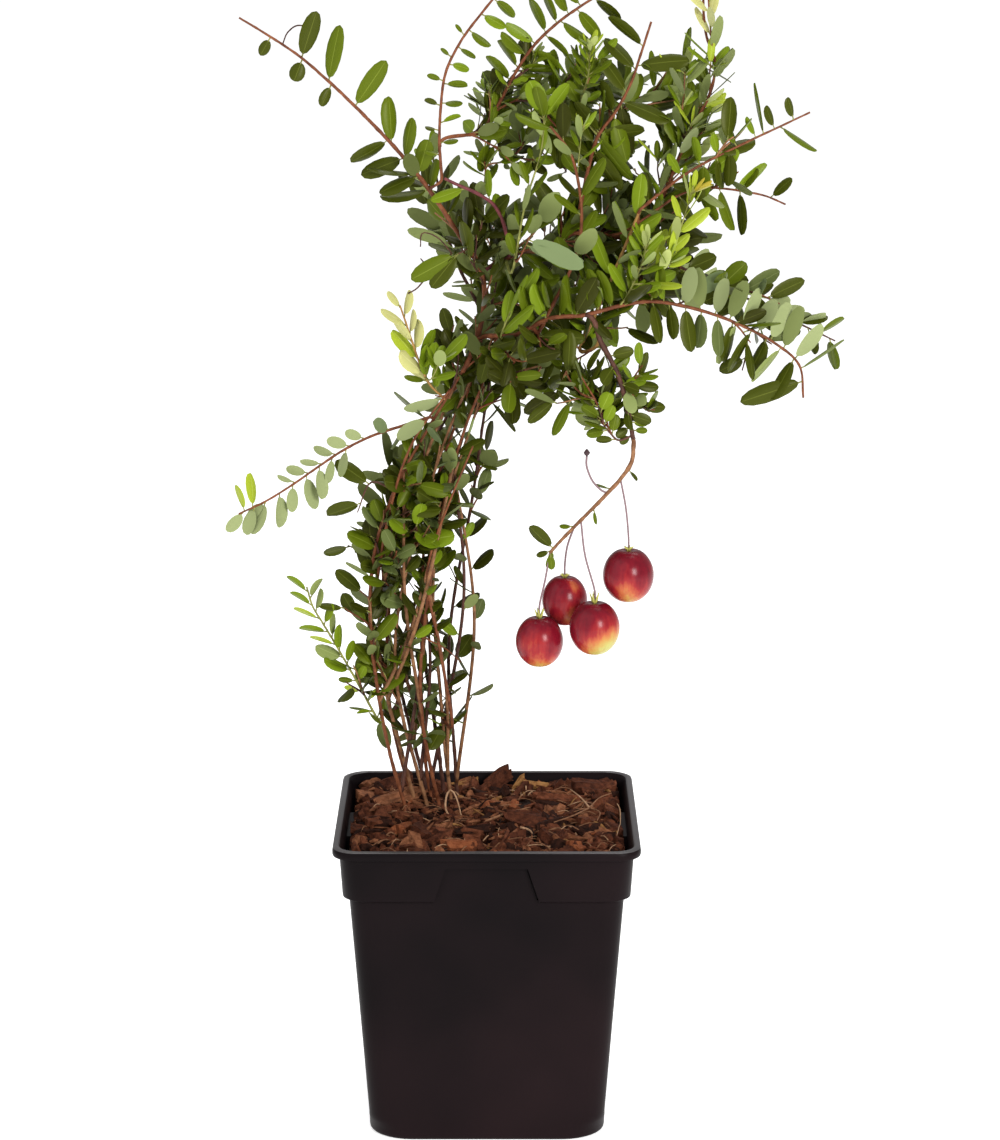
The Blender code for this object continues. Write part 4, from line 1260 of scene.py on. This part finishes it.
def panel_block(side, margin, levels, strip=None):
    """A block over one side's panel, wider by a margin, or over a strip at its right edge alone. Each
    level is a height and the distances of the block's two faces from the middle of the pot."""
    soup = Soup()
    verts = []
    turn = Matrix.Rotation(math.pi / 2 * side, 3, "Z")
    for z, near, far in levels:
        share = (z - COLLAR_FOOT) / (PANEL_TOP - COLLAR_FOOT)
        wide = blend(PANEL_FOOT_HALF, PANEL_TOP_HALF, share) + margin
        end = strip - wide if strip else wide
        for x, y in ((-wide, near), (end, near), (end, far), (-wide, far)):
            verts.append(tuple(turn @ Vector((x, y, z))))
    ends = [(3, 2, 1, 0), tuple(len(verts) - 4 + k for k in range(4))]
    soup.add(verts, ends + quads(len(levels), 4), 0)
    return soup.build("panel_guide", [], smooth=False)


def set_back_panels(pot):
    """On each side a backing is joined inside the collar, and then the panel is cut into both."""
    low, top = COLLAR_FOOT - 2 * COLLAR_STEP, PANEL_TOP + WALL
    under, over = COLLAR_FOOT - COLLAR_STEP / 2, COLLAR_FOOT + COLLAR_STEP / 2
    backing_levels = [
        (low, panel_face(low) - WALL, body_half(low) - WALL / 3),
        (under, panel_face(under) - WALL, BODY_TOP_HALF - PANEL_PROUD),
        (over, panel_face(over) - WALL, COLLAR_FOOT_HALF - WALL / 2),
        (top, panel_face(top) - WALL, COLLAR_TOP_HALF - WALL / 2),
    ]
    cutter_levels = [(z, panel_face(z), LIP_HALF) for z in (COLLAR_FOOT - COLLAR_STEP, PANEL_TOP)]
    for side in range(4):
        combine(pot, panel_block(side, WALL, backing_levels), "UNION")
        combine(pot, panel_block(side, 0.0, cutter_levels), "DIFFERENCE")
    slot_levels = [(z, panel_face(z) - SLOT_DEPTH, panel_face(z) + SLOT_DEPTH)
                   for z in (COLLAR_FOOT + 0.2 * MM, PANEL_TOP - 0.6 * MM)]
    combine(pot, panel_block(FRONT_SIDE, 0.0, slot_levels, SLOT_WIDTH), "DIFFERENCE")


def make_pot():
    """The pot's shell with soft edges, panels set back in its collar and holes in its floor."""
    soup = Soup()
    rings = [square_ring(half, corner, z) for half, corner, z in pot_profile()]
    width = len(rings[0])
    slots = []
    for lower, upper in zip(rings, rings[1:]):
        # faces at the rim's top take the lighter lip material, a painted highlight
        on_lip_highlight = min(lower[0][2], upper[0][2]) > POT_HEIGHT - LIP_HIGHLIGHT_BAND
        slots += [int(on_lip_highlight)] * width
    ends = [tuple(range(width))[::-1], tuple((len(rings) - 1) * width + k for k in range(width))]
    soup.add([place for ring in rings for place in ring], quads(len(rings), width) + ends,
             slots + [0, 0])
    # the wall's broad lighter blotches are painted reflection on the near-black plastic
    wall = noise_material("pot_wall_painted_reflection", POT_COLOURS_AND_PAINTED_REFLECTION, scale=13.0, roughness=(0.36, 0.46),
                          bump=POT_BUMP, specular=0.04, detail=3.0)
    lip = noise_material("pot_lip_highlight", LIP_HIGHLIGHT_SHADES, scale=60.0, roughness=(0.34, 0.44),
                         bump=POT_BUMP, specular=0.55)
    pot = soup.build("pot_shell", [wall, lip])
    set_back_panels(pot)
    for i in range(DRAIN_COUNT):
        reach = DRAIN_REACH + (0 if i % 2 else DRAIN_STAGGER)
        angle = math.tau * i / DRAIN_COUNT
        bpy.ops.mesh.primitive_cylinder_add(
            vertices=24, radius=DRAIN_RADIUS, depth=4 * FLOOR,
            location=(reach * math.cos(angle), reach * math.sin(angle), 0))
        combine(pot, bpy.context.object, "DIFFERENCE")
    pot.data.shade_smooth()
    pot.data.set_sharp_from_angle(angle=math.radians(POT_SHARP_ANGLE))
    keep(pot, "pot_plastic", "pot")


# Compost

BED_HALF = COLLAR_FOOT_HALF - WALL - 0.5 * MM
BED_CELLS = 70
SPLINTER_COUNT = 300
FIBRE_COUNT = 150

# Shades: the dark and the light colour of each
EARTH_SHADES = (0.008, 0.004, 0.003), (0.035, 0.015, 0.010)
FIBRE_SHADES = {
    "tan": ((0.24, 0.125, 0.066), (0.46, 0.280, 0.165)),
    "brown": ((0.11, 0.048, 0.024), (0.28, 0.135, 0.070)),
}
CHIP_SHADES = (
    ((0.030, 0.009, 0.005), (0.115, 0.036, 0.018)),
    ((0.050, 0.015, 0.007), (0.175, 0.056, 0.027)),
    ((0.100, 0.034, 0.015), (0.290, 0.115, 0.055)),
    ((0.010, 0.004, 0.003), (0.040, 0.014, 0.008)),
    ((0.200, 0.084, 0.026), (0.350, 0.175, 0.062)),
    ((0.150, 0.040, 0.016), (0.300, 0.098, 0.040)),
)
# How often chips and splinters take each shade
CHIP_CHANCES = (34, 28, 16, 22, 1.6, 2.0)
SPLINTER_CHANCES = (20, 30, 34, 8, 5, 4)

# Chips by size: how many, lengths, widths as shares of them, thicknesses, tilt, lifts, and strips
CHIP_SIZES = (
    (900, (1.6, 4.0), (0.4, 0.8), (0.8, 1.6), 0.6, (-0.8, 0.8), 2),
    (330, (4.5, 9.0), (0.35, 0.65), (1.4, 2.6), 0.42, (-0.8, 1.3), 4),
    (90, (8.0, 14.0), (0.35, 0.6), (1.8, 3.2), 0.30, (-0.6, 1.1), 4),
)
SHOWN_CHIP_STRIPS = 6

# Chips that stand out, as in the photo: place, turn in degrees, length, width, thickness, shade
SHOWN_CHIPS = (
    ((3.5, 36.3, 91.2), (40, -38, 20), 11, 6, 1.8, 0),
    ((-29, 33.5, 90.3), (20, -22, 8), 13, 8, 2.0, 0),
    ((15, 34, 90.0), (10, 4, -8), 11, 3.4, 1.4, 4),
    ((21, 32, 89.6), (4, -6, 12), 8, 2.8, 1.2, 5),
    ((9.5, 32, 91.2), (20, -45, 40), 8, 1.8, 1.0, 4),
    ((-8, -32, 90.4), (10, 2, 4), 11, 4.6, 2.0, 5),
    ((26, -33, 90.4), (22, 16, 60), 6.5, 5, 1.8, 5),
    ((-27, 18, 90.6), (18, -12, 18), 17, 7, 2.2, 2),
    ((-33, -6, 90.2), (14, 10, 62), 14, 6, 2.0, 1),
    ((-19, -18, 90.6), (30, 6, 84), 12, 7, 2.2, 0),
    ((13, -6, 90.4), (10, 6, -22), 16, 9, 2.2, 0),
    ((22, 18, 90.3), (14, 8, 14), 18, 5, 1.8, 1),
    ((31, 30, 90.4), (20, 12, 30), 12, 9, 2.2, 0),
    ((-4, -17, 90.2), (8, -6, 6), 13, 5, 1.8, 3),
    ((30, -6, 90.3), (12, 14, 74), 12, 5, 1.8, 1),
)

# Fibres that stand out: a loop by the stems, a star of root ends, pale splinters, and thin roots
# against the right wall. Places, radius in mm, and shade
SHOWN_FIBRES = (
    (((-11.5, 2, 89.5), (-12.6, 4, 91.5), (-12.2, 6, 95), (-10.8, 6.5, 96.4), (-9.2, 5, 94),
      (-8, 2, 90.5), (-7.4, -1, 89.5)), 0.36, 0),
    (((31, 5, 91.2), (28.5, 12, 92.4), (25.5, 19, 93)), 0.3, 0),
    (((31, 5, 91.2), (34, 12, 92.2), (38, 17, 92.4)), 0.3, 1),
    (((31, 5, 91.2), (26, -4, 91.4), (20, -10, 91)), 0.3, 1),
    (((31, 5, 91.2), (34, 0, 91.2), (33, -7, 90.6)), 0.28, 1),
    (((-1, -8, 90.6), (6, -1, 91.2), (13, 5, 91.4)), 0.42, 1),
    (((39.6, 10, 91), (40.2, 4, 90.8), (40.0, -6, 89.6), (39.4, -13, 90.6),
      (38.4, -22, 90.2)), 0.2, 0),
    (((10, -16, 91.2), (12.5, -18, 91), (13.5, -21, 90.8)), 0.4, 0),
)


def bed_height(x, y):
    """The uneven top of the compost under its chips, a little lower at the pot's walls."""
    wave = math.sin(x * 410) * math.cos(y * 530) + 0.5 * math.sin((x - y) * 900)
    edge = max(abs(x), abs(y)) / BED_HALF
    return GROUND - 1.2 * MM + 0.8 * MM * wave - 1.6 * MM * max(0.0, edge - 0.94) / 0.06


def add_slab(soup, dice, place, turn, length, width, thick, slot, strips):
    """A torn chip of bark: strips of unlike length side by side, each with its own height."""
    rotation = Euler(turn).to_matrix()
    stations = (-1.0, -0.45, 0.2, 1.0)
    tops, feet = [], []
    for k in range(strips + 1):
        across = k / strips * 2 - 1
        end = 1 - 0.32 * across * across
        reach = [end * dice.uniform(0.72, 1.1), end * dice.uniform(0.72, 1.1)]
        rise = dice.uniform(0.25, 1.0) * (1 - 0.5 * across * across)
        skew = dice.uniform(-0.12, 0.12)
        for station in stations:
            u = station * (reach[0] if station < 0 else reach[1]) * length / 2
            v = (across + skew * station) * width / 2
            tops.append(Vector((u, v, (rise + dice.uniform(-0.12, 0.12)) * thick)))
            feet.append(Vector((u * 0.9, v * 0.85, -0.45 * thick)))
    places = [place + rotation @ spot for spot in tops + feet]
    for spot in places:
        reach = max(abs(spot.x), abs(spot.y))
        if reach > BED_HALF:
            spot.x *= BED_HALF / reach
            spot.y *= BED_HALF / reach
    row = len(stations)
    under = len(tops)
    faces = []
    for a, b, c, d in quads(strips + 1, row, wrap=False):
        faces += [(a, b, c, d), (under + a, under + d, under + c, under + b)]
    rim = list(range(row))
    rim += [k * row + row - 1 for k in range(1, strips + 1)]
    rim += [strips * row + i for i in range(row - 2, -1, -1)]
    rim += [k * row for k in range(strips - 1, 0, -1)]
    for a, b in zip(rim, rim[1:] + rim[:1]):
        faces.append((b, a, under + a, under + b))
    soup.add([tuple(spot) for spot in places], faces, slot)


def somewhere(dice, limit):
    return dice.uniform(-limit, limit), dice.uniform(-limit, limit)


def fits(route, limit):
    return max(abs(c) for spot in route for c in spot[:2]) < limit


def scatter_chips(dice):
    """Crumbs, torn chips and splinters over the whole bed, and the chips that stand out."""
    chips = Soup()
    limit = BED_HALF - 1.0 * MM
    for count, long, wide, thick, tilt, lift, strips in CHIP_SIZES:
        for n in range(count):
            x, y = somewhere(dice, limit)
            length = dice.uniform(*long) * MM
            height = bed_height(x, y) + dice.uniform(*lift) * MM
            turn = (dice.gauss(0, tilt), dice.gauss(0, tilt), dice.uniform(0, math.tau))
            shade = dice.choices(range(6), CHIP_CHANCES)[0]
            add_slab(chips, dice, Vector((x, y, height)), turn, length,
                     length * dice.uniform(*wide), dice.uniform(*thick) * MM, shade, strips)
    for n in range(SPLINTER_COUNT):
        x, y = somewhere(dice, limit)
        turn = dice.uniform(0, math.tau)
        half = dice.uniform(1.5, 6.0) * MM
        ahead = Vector((math.cos(turn), math.sin(turn), dice.gauss(0, 0.14))) * half
        middle = Vector((x, y, bed_height(x, y) + dice.uniform(0.8, 2.2) * MM))
        bow = Vector((dice.gauss(0, 0.5), dice.gauss(0, 0.5), dice.uniform(0, 0.5))) * MM
        route = [middle - ahead, middle - ahead * 0.3 + bow, middle + ahead * 0.4 + bow,
                 middle + ahead]
        thick = dice.uniform(0.22, 0.7) * MM
        if fits(route, limit):
            add_tube(chips, route, [thick * 0.5, thick, thick * 0.9, thick * 0.3], 5,
                     dice.choices(range(6), SPLINTER_CHANCES)[0], 0.15, n)
    for place, turn, length, width, thick, shade in SHOWN_CHIPS:
        add_slab(chips, dice, point(*place), [math.radians(angle) for angle in turn], length * MM,
                 width * MM, thick * MM, shade, SHOWN_CHIP_STRIPS)
    return chips.build("bark_chips", [
        noise_material(f"chip_{i}", pair, scale=620.0, roughness=(0.6, 0.85), bump=(0.9, 0.8 * MM),
                       specular=0.06)
        for i, pair in enumerate(CHIP_SHADES)], smooth=False)


def make_bed(dice):
    """The dark bed under the chips."""
    grid = [blend(-BED_HALF, BED_HALF, i / BED_CELLS) for i in range(BED_CELLS + 1)]
    verts = [(x, y, bed_height(x, y) + dice.gauss(0, 0.25) * MM) for x in grid for y in grid]
    bed = Soup()
    bed.add(verts, quads(len(grid), len(grid), wrap=False, flip=True), 0)
    earth = noise_material("compost_earth", EARTH_SHADES, scale=420.0, roughness=(0.85, 1.0),
                           bump=(0.8, 1.0 * MM), specular=0.2)
    return bed.build("compost_bed", [earth])


def scatter_fibres(dice):
    """Thin fibres over the whole bed, and the fibres that stand out."""
    fibres = Soup()
    limit = BED_HALF - 2.5 * MM
    for n in range(FIBRE_COUNT):
        turn = dice.uniform(0, math.tau)
        reach = dice.uniform(3, 9) * MM
        ahead = Vector((math.cos(turn), math.sin(turn), 0)) * reach
        x, y = somewhere(dice, limit)
        start = Vector((x, y, bed_height(x, y) + 1.8 * MM))
        middle = start + ahead * 0.5 + Vector((0, 0, dice.uniform(0.3, 1.2) * MM))
        route = smooth_route([start, middle, start + ahead], 6)
        thick = dice.uniform(0.10, 0.22) * MM
        if fits(route, limit):
            add_tube(fibres, route, [thick] * 7, 5, dice.choice((0, 1, 1)))
    for places, thick, shade in SHOWN_FIBRES:
        route = smooth_route(points(places), 16)
        add_tube(fibres, route, taper(route, thick, thick * 0.5), 6, shade, 0.05)
    return fibres.build("fibres", [
        noise_material(f"fibre_{name}", pair, scale=600.0, roughness=(0.6, 0.8),
                       bump=(0.3, 0.3 * MM), specular=0.1)
        for name, pair in FIBRE_SHADES.items()])


def make_compost():
    """A dark bed with chips of bark and pale fibres on it."""
    dice = random.Random(42)
    keep(make_bed(dice), "compost", "compost")
    keep(scatter_chips(dice), "compost")
    keep(scatter_fibres(dice), "compost")


def main():
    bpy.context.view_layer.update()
    make_camera()
    make_studio()
    make_pot()
    make_compost()
    grow_plant()
    make_berries()


main()
